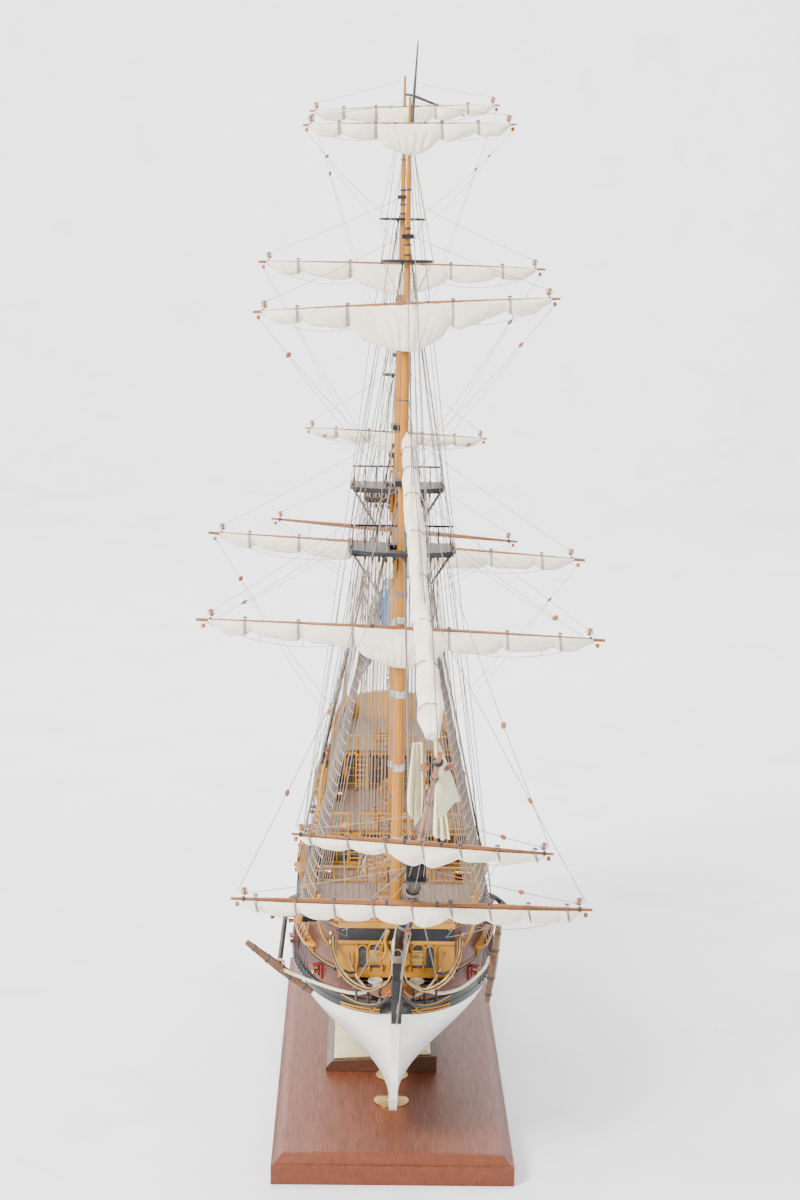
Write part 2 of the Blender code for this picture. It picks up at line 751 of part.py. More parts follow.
def make_furled_sail(name, centre, half, r, turn, depth, bunt):
    """A sail rolled under its yard: slim at the yardarms, with a deep bunt amidships."""
    reach = half * 0.955
    rings = []
    count = 16
    for k in range(count + 1):
        u = 2 * k / count - 1
        taper = max(1 - abs(u) ** 3.2, 0.0) ** 0.5
        middle = max(1 - abs(u) / 0.27, 0.0) ** 0.8
        height = max(lerp(depth * (0.30 + 0.70 * taper), bunt, middle), 0.0024) / 2
        width = max(SAIL_HALF_THICKNESS * (0.35 + 0.65 * taper) * depth / 0.0115, 0.001)
        top = -r - 2 * GAP
        ring = []
        for j in range(8):
            a = 2 * math.pi * j / 8 + math.pi / 8
            narrow = 1 - 0.45 * middle * max(-math.sin(a), 0)
            ring.append(centre + turn @ Vector((
                u * reach, -0.0016 + width * math.cos(a) * narrow,
                top - height + height * math.sin(a))))
        rings.append(ring)
    loft(f"{name}_sail", rings, canvas())


def make_yards_and_sails():
    for name in list(YARDS) + list(HEAD_YARDS):
        centre, half, r, tilt, depth, bunt = yard_place(name)
        turn = Matrix.Rotation(-math.radians(tilt), 3, "Y")
        make_yard(name, centre, half, r, turn)
        if depth:
            make_furled_sail(name, centre, half, r, turn, depth, bunt)


# ---------------------------------------------------------------- bowsprit, jib, gaff, flag

def make_bowsprit():
    d = sprit_direction()
    spar("bowsprit", SPRIT_HEEL, SPRIT_HEEL + d * SPRIT_LENGTH,
         (SPRIT_RADIUS, SPRIT_RADIUS, SPRIT_RADIUS * 0.95, SPRIT_RADIUS * 0.85), black_paint(), 12)
    lift = Vector((0, math.sin(STEEVE), math.cos(STEEVE))) * (SPRIT_RADIUS + JIBBOOM_RADIUS + 0.001)
    start = SPRIT_HEEL + d * JIBBOOM_START + lift
    spar("jibboom", start, start + d * JIBBOOM_LENGTH,
         (JIBBOOM_RADIUS, JIBBOOM_RADIUS, JIBBOOM_RADIUS * 0.92, JIBBOOM_RADIUS * 0.72),
         yard_wood(), 10)


def make_jib_roll():
    """The furled jib: a long roll on its stay, thickest low down."""
    route = smooth_route([(0.0010, -0.1735, 0.4620), (0.0035, -0.2300, 0.4330),
                          (0.0075, -0.3300, 0.3830), (0.0115, -0.4200, 0.3380)], 12)
    rings = []
    for k, p in enumerate(route):
        t = k / 12
        r = lerp(0.0022, 0.0056, t ** 0.7) * (1 if t < 0.95 else 0.75)
        direction = (route[min(k + 1, 12)] - route[max(k - 1, 0)]).normalized()
        turn = direction.to_track_quat("Z", "Y")
        rings.append([p + turn @ Vector((r * math.cos(a), r * math.sin(a), 0))
                      for a in (math.pi / 4 * j for j in range(8))])
    loft("jib_roll", rings, canvas())


def make_gaff_and_flag():
    spar("mizzen_gaff", (0, 0.1710, 0.2640), (0, 0.2980, 0.3240), (0.0015, 0.0017, 0.0012),
         yard_wood(), 8)
    cloth = material("flag_cloth", (0.05, 0.35, 0.60), 0.8)
    flag = box("ensign", (-0.0230, 0.2840, 0.2130), (0.0010, 0.2900, 0.3000), cloth)
    bevel(flag, 0.0012)


# ---------------------------------------------------------------- anchors

def anchor_frame(ring_end, crown, arm_up):
    """Rotation whose Z runs from the ring to the crown and whose X lies along the arms."""
    z = (crown - ring_end).normalized()
    y = z.cross(arm_up).normalized()
    x = y.cross(z)
    return Matrix((x, y, z)).transposed()


def make_anchor(name, ring_end, crown, arm_up):
    turn = anchor_frame(ring_end, crown, arm_up).to_4x4()
    length = (crown - ring_end).length
    place = Matrix.Translation(ring_end) @ turn
    thick = 0.0011
    bm = bmesh.new()
    bmesh.ops.create_cube(bm, size=1, matrix=Matrix.Translation((0, 0, length / 2))
                          @ Matrix.Diagonal((2 * thick, 2 * thick, length, 1)))
    anchor = add_object(name, mesh_from(bm, name), iron())
    anchor.matrix_world = place
    bm = bmesh.new()
    rings = []
    for k in range(9):
        a = math.radians(-58 + 14.5 * k)
        r = 0.0150
        wide = thick * (1.25 - 0.35 * abs(k - 4) / 4)
        middle = Vector((r * math.sin(a), 0, length - r + 0.0006 + r * math.cos(a)))
        out = Vector((math.sin(a), 0, math.cos(a)))
        rings.append([bm.verts.new(middle + out * (wide * i) + Vector((0, wide * j, 0)))
                      for i, j in ((-1, -1), (-1, 1), (1, 1), (1, -1))])
    for a, b in zip(rings, rings[1:]):
        for i in range(4):
            j = (i + 1) % 4
            bm.faces.new((a[i], a[j], b[j], b[i]))
    bm.faces.new(rings[0][::-1])
    bm.faces.new(rings[-1])
    bmesh.ops.recalc_face_normals(bm, faces=bm.faces)
    arms = add_object(name + "_arms", mesh_from(bm, name + "_arms"), None, CUTTERS)
    arms.matrix_world = place
    boolean(anchor, arms, "UNION")


def make_stock(name, centre, direction, length):
    turn = direction.normalized().to_track_quat("Z", "Y")
    rings = []
    for k in range(5):
        t = k / 4 - 0.5
        half = 0.0024 - 0.0020 * abs(t)
        rings.append([centre + turn @ Vector((half * i, half * j, length * t))
                      for i, j in ((-1, -1), (1, -1), (1, 1), (-1, 1))])
    loft(name, rings, walnut(), smooth=False)


def make_anchors():
    make_anchor("anchor_starboard", Vector((-0.0712, -0.1740, 0.1345)),
                Vector((-0.0690, -0.0980, 0.1500)), Vector((0.75, 0, 0.66)))
    make_stock("anchor_stock_starboard", Vector((-0.0712, -0.1775, 0.1337)),
               Vector((-0.038, -0.003, 0.031)), 0.052)
    make_anchor("anchor_port", Vector((0.0605, -0.1690, 0.1370)),
                Vector((0.0690, -0.0940, 0.1500)), Vector((-0.75, 0, 0.66)))
    make_stock("anchor_stock_port", Vector((0.0600, -0.1725, 0.1355)),
               Vector((0.006, -0.002, 0.05)), 0.050)
    starboard = [(-0.0155, -0.2075, 0.1300), (-0.0240, -0.2020, 0.1262), (-0.0360, -0.1925, 0.1250),
                 (-0.0480, -0.1870, 0.1270), (-0.0590, -0.1850, 0.1305), (-0.0695, -0.1835, 0.1345)]
    port = [(0.0175, -0.2065, 0.1300), (0.0270, -0.2000, 0.1262), (0.0380, -0.1925, 0.1262),
            (0.0470, -0.1865, 0.1300), (0.0540, -0.1820, 0.1360), (0.0575, -0.1785, 0.1420)]
    tube("anchor_cable_starboard", smooth_route(starboard, 20), 0.0008, hemp())
    tube("anchor_cable_port", smooth_route(port, 20), 0.0008, hemp())


# ---------------------------------------------------------------- build

def build():
    make_baseboard()
    make_pedestal("pedestal_front", -PEDESTAL_Y)
    make_pedestal("pedestal_rear", PEDESTAL_Y)
    make_nameplate()
    make_keel_and_stem()
    make_lower_hull()
    make_wales()
    make_topsides()
    make_transom()
    make_rudder()
    make_decks()
    make_beakhead_bulkhead()
    make_wheel()
    make_capstan()
    make_boat()
    for mast in MASTS:
        make_mast(mast)
        make_top(mast)
    make_bowsprit()
    make_yards_and_sails()
    make_jib_roll()
    make_gaff_and_flag()
    make_anchors()


clear_scene()
SHIP = new_collection("model_sailing_ship")
CUTTERS = new_collection("cutters")
build()
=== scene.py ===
"""A three-masted model sailing ship on a display board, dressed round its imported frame.

Metres, +Z up, bow towards -Y, starboard towards -X, origin at the board's underside.
The hull surfaces are lofted from the same formulas as the frame; the sails, rigging
and fittings hang on the frame's masts, yards and decks.
"""
import math
import random

import bmesh
import bpy
from mathutils import Matrix, Vector, noise


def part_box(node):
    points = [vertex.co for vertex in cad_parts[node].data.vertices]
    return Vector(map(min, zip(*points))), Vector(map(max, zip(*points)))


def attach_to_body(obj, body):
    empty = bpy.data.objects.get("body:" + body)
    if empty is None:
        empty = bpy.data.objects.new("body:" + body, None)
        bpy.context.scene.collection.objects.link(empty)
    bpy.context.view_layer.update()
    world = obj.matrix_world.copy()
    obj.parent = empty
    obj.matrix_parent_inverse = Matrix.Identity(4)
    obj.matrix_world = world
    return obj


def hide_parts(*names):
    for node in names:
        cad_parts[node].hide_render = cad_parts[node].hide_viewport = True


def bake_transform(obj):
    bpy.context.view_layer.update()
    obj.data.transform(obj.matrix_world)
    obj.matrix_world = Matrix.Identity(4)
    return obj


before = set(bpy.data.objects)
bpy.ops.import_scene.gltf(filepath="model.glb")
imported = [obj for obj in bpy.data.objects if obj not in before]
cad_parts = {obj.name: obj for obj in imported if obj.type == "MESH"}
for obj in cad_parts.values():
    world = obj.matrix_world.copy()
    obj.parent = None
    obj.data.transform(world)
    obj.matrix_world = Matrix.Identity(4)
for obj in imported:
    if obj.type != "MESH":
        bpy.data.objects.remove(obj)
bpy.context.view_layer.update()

# Hull form, as in the frame
KEEL_TOP = 0.038
KEEL_HALF_WIDTH = 0.0023
HALF_BEAM = 0.0655
STEM_FOOT_Y = -0.150
STEM_RAKE = 0.056
STEM_TOP_Z = 0.150
STERN_FOOT_Y = 0.212
STERN_POST_RAKE = 0.125
COUNTER_Z = 0.118
COUNTER_RAKE = 0.45
WALE_HEIGHT = 0.009
WALE_PROUD = 0.0013
SIDE_THICKNESS = 0.0022
TUMBLEHOME = 0.21
BULKHEAD_Y = -0.1853
LOW_BOW_RAIL = 0.131
MAIN_DECK_Z = 0.138
FORECASTLE_Z = 0.156
QUARTER_Z = 0.163
POOP_Z = 0.190
FORECASTLE_RAIL = 0.166
WAIST_RAIL = 0.153
QUARTER_RAIL = 0.177
POOP_RAIL = 0.204
FORECASTLE_END = -0.070
QUARTER_START = 0.028
POOP_START = 0.150
SIDES = {"starboard": -1, "port": 1}

# Masts: station, radius, head of the lower mast, top, crosstrees, upper head, half width of top
MASTS = {
    "fore": dict(y=-0.150, r=0.0035, head=0.431, top=0.388, trees=0.5615, truck=0.656, half=0.0325),
    "main": dict(y=0.042, r=0.0036, head=0.445, top=0.4015, trees=0.5835, truck=0.677, half=0.0325),
    "mizzen": dict(y=0.165, r=0.0028, head=0.412, top=0.378, trees=0.470, truck=0.520, half=0.0235),
}
DOUBLING = 0.0080
TOP_THICKNESS = 0.0025
UPPER_SHARE = 0.74

# Yards: mast, height, half length, radius, tilt in degrees, sail depth, bunt depth, bunt share
YARDS = {
    "fore_course": ("fore", 0.3405, 0.124, 0.0023, -2.2, 0.0115, 0.024, 0.20),
    "fore_topsail": ("fore", 0.536, 0.0905, 0.0019, 3.4, 0.0105, 0.027, 0.34),
    "fore_topgallant": ("fore", 0.640, 0.062, 0.0014, 1.1, 0.0085, 0.017, 0.28),
    "main_course": ("main", 0.362, 0.1295, 0.0024, -3.4, 0.0115, 0.022, 0.22),
    "main_topsail": ("main", 0.553, 0.096, 0.0020, -0.6, 0.0105, 0.020, 0.26),
    "main_topgallant": ("main", 0.656, 0.063, 0.0014, 2.7, 0.0085, 0.014, 0.26),
    "crossjack": ("mizzen", 0.355, 0.0915, 0.0018, -4.6, None, None, None),
    "mizzen_topsail": ("mizzen", 0.4275, 0.0665, 0.0015, -2.6, 0.0085, 0.014, 0.25),
}
HEAD_YARDS = {
    "spritsail": (-0.290, 0.2104, 0.101, 0.0021, -1.2, 0.0090, 0.0115, 0.10),
    "sprit_topsail": (-0.360, 0.2655, 0.069, 0.0016, -3.9, 0.0065, 0.0120, 0.16),
}

# Bowsprit and jibboom
STEEVE = math.radians(34.0)
SPRIT_YAW = 0.046
SPRIT_HEEL = Vector((0.0015, -0.1868, 0.1482))
SPRIT_LENGTH = 0.160
SPRIT_RADIUS = 0.0042
JIBBOOM_START = 0.088
JIBBOOM_RADIUS = 0.0019


# ---------------------------------------------------------------- numbers and hull form

def lerp(a, b, t):
    return a + (b - a) * t


def clamp(t):
    return max(0.0, min(1.0, t))


def smoothstep(t):
    t = clamp(t)
    return t * t * (3 - 2 * t)


def stem_y(z):
    t = clamp((z - KEEL_TOP) / (STEM_TOP_Z - KEEL_TOP))
    return STEM_FOOT_Y - STEM_RAKE * math.sqrt(1 - (1 - t) ** 2)


def stern_y(z):
    return STERN_FOOT_Y + STERN_POST_RAKE * (min(z, COUNTER_Z) - KEEL_TOP) \
        + COUNTER_RAKE * max(z - COUNTER_Z, 0)


def along(s, z):
    return lerp(stem_y(z), stern_y(z), s)


def station_at(y, z):
    return clamp((y - stem_y(z)) / (stern_y(z) - stem_y(z)))


def wale_z(s):
    if s < 0.47:
        return 0.103 + 0.0105 * ((0.47 - s) / 0.47) ** 1.2
    return 0.103 + 0.017 * ((s - 0.47) / 0.53) ** 1.6


def half_breadth(s, v):
    """Half breadth at station s (0 stem, 1 stern) and share v of the height up to the wale."""
    middle = (1 - (1 - v) ** 2) ** 0.75
    entry_length = 0.62 - 0.26 * v
    fineness = 0.46 + 1.28 * (1 - v) ** 1.3
    entry = (1 - max(1 - s / entry_length, 0) ** 2) ** fineness
    transom = 0.03 + 0.67 * smoothstep((v - 0.5) / 0.5)
    run_power = 0.6 + 0.8 * (1 - v)
    run = transom + (1 - transom) * (1 - max(1 - (1 - s) / 0.5, 0) ** 2) ** run_power
    return KEEL_HALF_WIDTH + (HALF_BEAM - KEEL_HALF_WIDTH) * middle * entry * run


def hull_point(s, v):
    z = lerp(KEEL_TOP, wale_z(s), v)
    return Vector((half_breadth(s, v), along(s, z), z))


def side_point(s, z):
    lean = TUMBLEHOME * smoothstep((s - 0.05) / 0.30) * max(z - wale_z(s) - WALE_HEIGHT, 0)
    return Vector((half_breadth(s, 1) - lean, along(s, z), z))


def side_normal(s, z):
    step = 0.002
    a = side_point(max(s - step, 0), z)
    b = side_point(min(s + step, 1), z)
    run = b - a
    return Vector((run.y, -run.x, 0)).normalized()


def side_offset(s, z, distance):
    return side_point(s, z) + side_normal(s, z) * distance


def side_at(y, z, distance=0.0):
    """Point on the port side at that length and height, moved outwards."""
    return side_offset(station_at(y, z), z, distance)


def rail_z(y):
    if y < BULKHEAD_Y + 0.0002:
        return LOW_BOW_RAIL
    if y < FORECASTLE_END:
        return FORECASTLE_RAIL
    if y < QUARTER_START:
        return WAIST_RAIL
    if y < POOP_START:
        return QUARTER_RAIL
    return POOP_RAIL


def mirrored(point, sign):
    return Vector((sign * point[0], point[1], point[2]))


# ---------------------------------------------------------------- materials

class Look:
    """A Principled material fed by procedural nodes in object coordinates."""

    def __init__(self, name, color, roughness=0.5, metallic=0.0, **uniform):
        self.material = bpy.data.materials.new(name)
        self.material.use_nodes = True
        self.material.diffuse_color = (*color, 1)
        self.tree = self.material.node_tree
        self.shader = self.tree.nodes["Principled BSDF"]
        self.shader.inputs["Base Color"].default_value = (*color, 1)
        self.shader.inputs["Roughness"].default_value = roughness
        self.shader.inputs["Metallic"].default_value = metallic
        for socket, value in uniform.items():
            self.shader.inputs[socket.replace("_", " ")].default_value = value
        self.place = self.node("ShaderNodeTexCoord").outputs["Object"]

    def node(self, kind, properties=None, **sockets):
        made = self.tree.nodes.new(kind)
        for key, value in (properties or {}).items():
            setattr(made, key, value)
        for socket, value in sockets.items():
            self.feed(made.inputs[socket.replace("_", " ")], value)
        return made

    def feed(self, socket, value):
        if isinstance(value, bpy.types.NodeSocket):
            self.tree.links.new(value, socket)
        else:
            socket.default_value = value

    def attribute(self, name):
        return self.node("ShaderNodeAttribute", {"attribute_name": name}).outputs["Vector"]

    def stretched(self, scale, source=None):
        mapping = self.node("ShaderNodeMapping", Vector=source or self.place)
        mapping.inputs["Scale"].default_value = scale
        return mapping.outputs["Vector"]

    def swapped(self, order, source=None):
        """The coordinates in another order, such as YXZ."""
        split = self.node("ShaderNodeSeparateXYZ", Vector=source or self.place)
        join = self.node("ShaderNodeCombineXYZ")
        for slot, axis in zip("XYZ", order):
            self.tree.links.new(split.outputs[axis], join.inputs[slot])
        return join.outputs["Vector"]

    def noise(self, scale, detail=4.0, rough=0.6, distortion=0.0):
        """Noise with that many cycles a metre along each axis."""
        made = self.node("ShaderNodeTexNoise", Vector=self.stretched(scale), Scale=1.0,
                         Detail=detail, Roughness=rough, Distortion=distortion)
        return made.outputs["Fac"]

    def wave(self, direction, scale, distortion=0.0, source=None):
        made = self.node("ShaderNodeTexWave", {"bands_direction": direction},
                         Vector=source or self.place, Scale=scale, Distortion=distortion)
        return made.outputs["Fac"]

    def ramp(self, factor, *stops):
        made = self.node("ShaderNodeValToRGB", Fac=factor)
        while len(made.color_ramp.elements) < len(stops):
            made.color_ramp.elements.new(0.5)
        for element, (position, color) in zip(made.color_ramp.elements, stops):
            element.position = position
            element.color = (*color, 1) if len(color) == 3 else color
        return made.outputs["Color"]

    def blend(self, factor, a, b, mode="MIX"):
        made = self.node("ShaderNodeMix", {"data_type": "RGBA", "blend_type": mode})
        for index, value in ((0, factor), (6, a), (7, b)):
            if isinstance(value, tuple) and len(value) == 3:
                value = (*value, 1)
            self.feed(made.inputs[index], value)
        return made.outputs[2]

    def range(self, factor, low, high, start=0.0, end=1.0):
        made = self.node("ShaderNodeMapRange", Value=factor)
        for socket, value in zip(("From Min", "From Max", "To Min", "To Max"), (start, end, low, high)):
            made.inputs[socket].default_value = value
        return made.outputs["Result"]

    def maths(self, operation, a, b):
        made = self.node("ShaderNodeMath", {"operation": operation})
        self.feed(made.inputs[0], a)
        self.feed(made.inputs[1], b)
        return made.outputs[0]

    def color(self, value):
        self.feed(self.shader.inputs["Base Color"], value)

    def roughness(self, value):
        self.feed(self.shader.inputs["Roughness"], value)

    def bump(self, height, distance, strength=1.0):
        made = self.node("ShaderNodeBump", Height=height, Distance=distance, Strength=strength)
        previous = self.shader.inputs["Normal"].links
        if previous:
            self.tree.links.new(previous[0].from_socket, made.inputs["Normal"])
        self.feed(self.shader.inputs["Normal"], made.outputs["Normal"])


def mixed(color, other, share):
    return tuple(lerp(a, b, share) for a, b in zip(color, other))


def wood(name, dark, light, grain, roughness=0.42, coat=0.0, pores=0.35):
    """Straight-grained wood; grain is the cycles a metre along each axis."""
    look = Look(name, light, roughness, Coat_Weight=coat, Coat_Roughness=0.22, Specular_IOR_Level=0.26)
    rings = look.noise(grain, 5.0, 0.55, 0.35)
    broad = look.noise(tuple(g * 0.12 for g in grain), 3.0, 0.5)
    fine = look.noise(tuple(g * 4.5 for g in grain), 2.0, 0.6)
    tone = look.ramp(rings, (0.28, dark), (0.52, mixed(dark, light, 0.6)), (0.78, light))
    shade = look.ramp(broad, (0.25, (0.74, 0.70, 0.68)), (0.75, (1.0, 1.0, 1.0)))
    speck = look.ramp(fine, (0.30, mixed((1, 1, 1), (0.45, 0.36, 0.30), pores)), (0.46, (1, 1, 1)))
    look.color(look.blend(1.0, look.blend(1.0, tone, shade, "MULTIPLY"), speck, "MULTIPLY"))
    look.roughness(look.range(rings, roughness + 0.10, roughness - 0.06))
    look.bump(fine, 0.00006, 0.35)
    return look.material


def paint(name, color, worn, roughness=0.35, coat=0.2, streak=(30, 12, 60)):
    """Brushed paint with faint strokes, soft stains and a slightly uneven gloss."""
    look = Look(name, color, roughness, Coat_Weight=coat, Coat_Roughness=0.16, Specular_IOR_Level=0.28)
    stain = look.noise(streak, 5.0, 0.62)
    stroke = look.noise(tuple(s * 14 for s in streak), 3.0, 0.55)
    look.color(look.ramp(stain, (0.30, mixed(color, worn, 0.55)), (0.55, color),
                         (0.85, mixed(color, worn, 0.18))))
    look.roughness(look.range(stroke, roughness - 0.06, roughness + 0.12))
    look.bump(stroke, 0.00005, 0.30)
    return look.material


def metal(name, color, tarnish, roughness, scale=90, pit=0.00003):
    look = Look(name, color, roughness, 1.0)
    cloud = look.noise((scale,) * 3, 6.0, 0.62)
    grit = look.noise((scale * 22,) * 3, 2.0, 0.5)
    look.color(look.ramp(cloud, (0.32, tarnish), (0.60, color)))
    look.roughness(look.range(cloud, roughness + 0.16, roughness - 0.03, 0.3, 0.7))
    look.bump(grit, pit, 0.30)
    return look.material


def iron(name, color, roughness=0.5):
    """Blackened metal: dark paint with a dull, pitted surface."""
    look = Look(name, color, roughness, 0.35)
    cloud = look.noise((260,) * 3, 5.0, 0.6)
    look.color(look.ramp(cloud, (0.3, color), (0.75, mixed(color, (0.35, 0.33, 0.31), 0.22))))
    look.roughness(look.range(cloud, roughness - 0.1, roughness + 0.15))
    look.bump(cloud, 0.00012, 0.4)
    return look.material


def cloth(name, color, shade, sheen=0.25, threads=900):
    """Plain-woven cotton with soft creasing and slightly dirty folds."""
    look = Look(name, color, 0.88, Sheen_Weight=sheen, Sheen_Roughness=0.5,
                Specular_IOR_Level=0.25)
    stain = look.noise((45, 60, 55), 5.0, 0.6)
    slub = look.noise((900, 900, 160), 3.0, 0.6)
    tone = look.ramp(stain, (0.28, shade), (0.58, color), (0.85, mixed(color, (1, 1, 1), 0.25)))
    look.color(look.blend(0.35, tone, look.ramp(slub, (0.3, shade), (0.6, color)), "MULTIPLY"))
    warp = look.wave("X", threads)
    weft = look.wave("Z", threads, 0.4)
    look.bump(look.maths("ADD", warp, weft), 0.00005, 0.55)
    look.bump(look.noise((120, 120, 220), 4.0, 0.6), 0.0006, 0.35)
    return look.material


def rope(name, color, dark, pitch=0.0011):
    """Laid rope: bands of strands across the line, with painted shade in the grooves between strands, and
    uneven fibres.
    """
    look = Look(name, color, 0.85, Sheen_Weight=0.15, Sheen_Roughness=0.5)
    strands = look.wave("DIAGONAL", 0.2 * math.pi / pitch)
    fibre = look.noise((1500,) * 3, 3.0, 0.65)
    age = look.noise((25,) * 3, 3.0, 0.6)
    # the dark end of each strand band is painted shade in the grooves between strands
    tone = look.ramp(strands, (0.05, dark), (0.55, color))
    tone = look.blend(0.5, tone, look.ramp(fibre, (0.3, dark), (0.7, mixed(color, (1, 1, 1), 0.2))))
    look.color(look.blend(0.35, tone, look.ramp(age, (0.3, dark), (0.7, color))))
    look.bump(strands, 0.00018, 0.8)
    return look.material


def planks(name, tones, seam, width, length, order="YXZ", source=None, roughness=0.45, coat=0.08,
           grain=(1400, 70, 1400)):
    """Narrow planks laid in staggered rows with dark seams, each plank its own tone."""
    look = Look(name, tones[1], roughness, Coat_Weight=coat, Coat_Roughness=0.3, Specular_IOR_Level=0.24)
    place = look.attribute(source) if source else look.swapped(order)
    brick = look.node("ShaderNodeTexBrick", {"offset": 0.37, "offset_frequency": 3}, Vector=place,
                      Scale=1.0, Color1=(*tones[0], 1), Color2=(*tones[1], 1), Mortar=(*seam, 1),
                      Mortar_Size=width * 0.045, Mortar_Smooth=0.2, Bias=0.0, Brick_Width=length,
                      Row_Height=width)
    fibre = look.noise(grain, 4.0, 0.6)
    age = look.noise((35, 20, 35), 4.0, 0.6)
    tone = look.blend(0.65, brick.outputs["Color"],
                      look.ramp(fibre, (0.25, (0.58, 0.50, 0.44)), (0.65, (1, 1, 1))), "MULTIPLY")
    look.color(look.blend(0.5, tone, look.ramp(age, (0.25, (0.66, 0.60, 0.56)), (0.7, (1, 1, 1))),
                          "MULTIPLY"))
    look.roughness(look.range(fibre, roughness + 0.12, roughness - 0.05))
    look.bump(brick.outputs["Fac"], -0.00022, 0.8)
    look.bump(fibre, 0.00004, 0.3)
    return look.material


def flag_material():
    """Blue bunting with white diagonal bars, laid out by the flat cloth's own coordinates."""
    blue = (0.035, 0.25, 0.60)
    look = Look("flag_bunting", blue, 0.85, Sheen_Weight=0.3, Sheen_Roughness=0.5)
    split = look.node("ShaderNodeSeparateXYZ", Vector=look.attribute("lay"))
    across = look.maths("ABSOLUTE", look.maths("SUBTRACT", split.outputs["X"], split.outputs["Y"]), 0.0)
    bars = look.range(across, 1.0, 0.0, 0.085, 0.10)
    back = look.maths("ABSOLUTE", look.maths(
        "SUBTRACT", look.maths("ADD", split.outputs["X"], split.outputs["Y"]), 1.0), 0.0)
    cross = look.range(back, 1.0, 0.0, 0.085, 0.10)
    white = look.maths("MAXIMUM", bars, cross)
    fade = look.noise((70, 70, 90), 4.0, 0.6)
    field = look.ramp(fade, (0.3, (0.03, 0.19, 0.48)), (0.7, (0.06, 0.33, 0.70)))
    look.color(look.blend(white, field, (0.83, 0.82, 0.78)))
    threads = look.maths("ADD", look.wave("X", 900.0), look.wave("Z", 900.0))
    look.bump(threads, 0.00005, 0.5)
    return look.material


def glass_material():
    look = Look("window_panes", (0.10, 0.13, 0.16), 0.12, Coat_Weight=0.6, Coat_Roughness=0.05)
    ripple = look.noise((500,) * 3, 3.0, 0.5)
    look.color(look.ramp(ripple, (0.3, (0.05, 0.07, 0.09)), (0.7, (0.20, 0.24, 0.28))))
    look.bump(ripple, 0.00008, 0.4)
    return look.material


WHITE = (0.80, 0.79, 0.765)
LOOKS = {
    "board": wood("sapele", (0.070, 0.017, 0.007), (0.215, 0.064, 0.029), (1500, 42, 1500), 0.44, 0.05,
                  0.7),
    "walnut": wood("walnut", (0.035, 0.014, 0.008), (0.13, 0.055, 0.028), (1500, 50, 1500), 0.36, 0.3),
    "brass": metal("polished_brass_metal", (0.86, 0.62, 0.26), (0.55, 0.36, 0.12), 0.14),
    "plate": metal("pale_brass", (0.86, 0.76, 0.50), (0.70, 0.60, 0.36), 0.30, 30),
    "white": paint("white_hull_paint", WHITE, (0.62, 0.60, 0.54), 0.30, 0.35),
    "black": paint("black_paint", (0.008, 0.009, 0.011), (0.045, 0.043, 0.042), 0.38, 0.04),
    "mahogany": planks("mahogany_planks", ((0.070, 0.020, 0.011), (0.145, 0.047, 0.026)),
                       (0.035, 0.012, 0.008), 0.0034, 0.062, source="lay", grain=(900, 60, 1600)),
    "inner": planks("bulwark_planks", ((0.085, 0.048, 0.036), (0.130, 0.078, 0.060)),
                    (0.06, 0.035, 0.03), 0.0034, 0.05, source="lay", grain=(900, 60, 1600)),
    "ochre": paint("ochre_paint", (0.42, 0.190, 0.020), (0.22, 0.088, 0.011), 0.45, 0.08, (60, 25, 80)),
    "gilt": metal("gilding", (0.62, 0.42, 0.17), (0.25, 0.14, 0.05), 0.38, 200, 0.0001),
    "deck": planks("deck_planks", ((0.165, 0.102, 0.070), (0.240, 0.160, 0.115)), (0.055, 0.035, 0.028),
                   0.0038, 0.058),
    "mast": wood("honey_pine", (0.28, 0.095, 0.008), (0.50, 0.215, 0.017), (1100, 1100, 26), 0.38, 0.12,
                 0.15),
    "yard": wood("yard_wood", (0.15, 0.052, 0.016), (0.36, 0.145, 0.045), (34, 1400, 1400), 0.44, 0.04,
                 0.3),
    "sprit": wood("jibboom_wood", (0.19, 0.060, 0.022), (0.36, 0.135, 0.052), (900, 60, 900), 0.4, 0.2),
    "fitting": wood("block_wood", (0.22, 0.066, 0.022), (0.48, 0.18, 0.066), (900, 900, 300), 0.4, 0.05),
    "canvas": cloth("sail_cotton", (0.87, 0.81, 0.69), (0.74, 0.66, 0.52)),
    # darker, yellower copy of the sail cotton for the jib's loose foot and clew: painted backlight and
    # shade on the hanging cloth
    "backlit_canvas": cloth("backlit_sail_cotton", (0.76, 0.72, 0.52), (0.62, 0.58, 0.38)),
    "flag": flag_material(),
    "iron": iron("blackened_iron", (0.014, 0.014, 0.016)),
    "steel": metal("mast_bands", (0.56, 0.54, 0.51), (0.30, 0.28, 0.26), 0.42, 300),
    "hemp": rope("hemp_rope", (0.62, 0.52, 0.38), (0.30, 0.22, 0.14)),
    "pale_rope": rope("pale_cable", (0.80, 0.72, 0.56), (0.42, 0.33, 0.20), 0.0016),
    "tarred": rope("tarred_rope", (0.200, 0.150, 0.115), (0.060, 0.042, 0.030)),
    "running": rope("running_line", (0.30, 0.225, 0.16), (0.12, 0.085, 0.058)),
    "red": paint("port_red", (0.20, 0.012, 0.014), (0.08, 0.006, 0.006), 0.4, 0.1, (80, 60, 80)),
    "glass": glass_material(),
}


# ---------------------------------------------------------------- mesh building

class Shape:
    """Collects solids into one mesh; each face has a material index, each point a lay."""

    def __init__(self):
        self.points = []
        self.faces = []
        self.marks = []
        self.lays = {}

    def add(self, solid, mark=0, lay=None):
        points, faces = solid
        start = len(self.points)
        self.points.extend(tuple(p) for p in points)
        self.faces.extend(tuple(i + start for i in face) for face in faces)
        self.marks.extend([mark] * len(faces))
        for index, value in enumerate(lay or []):
            self.lays[start + index] = value
        return self


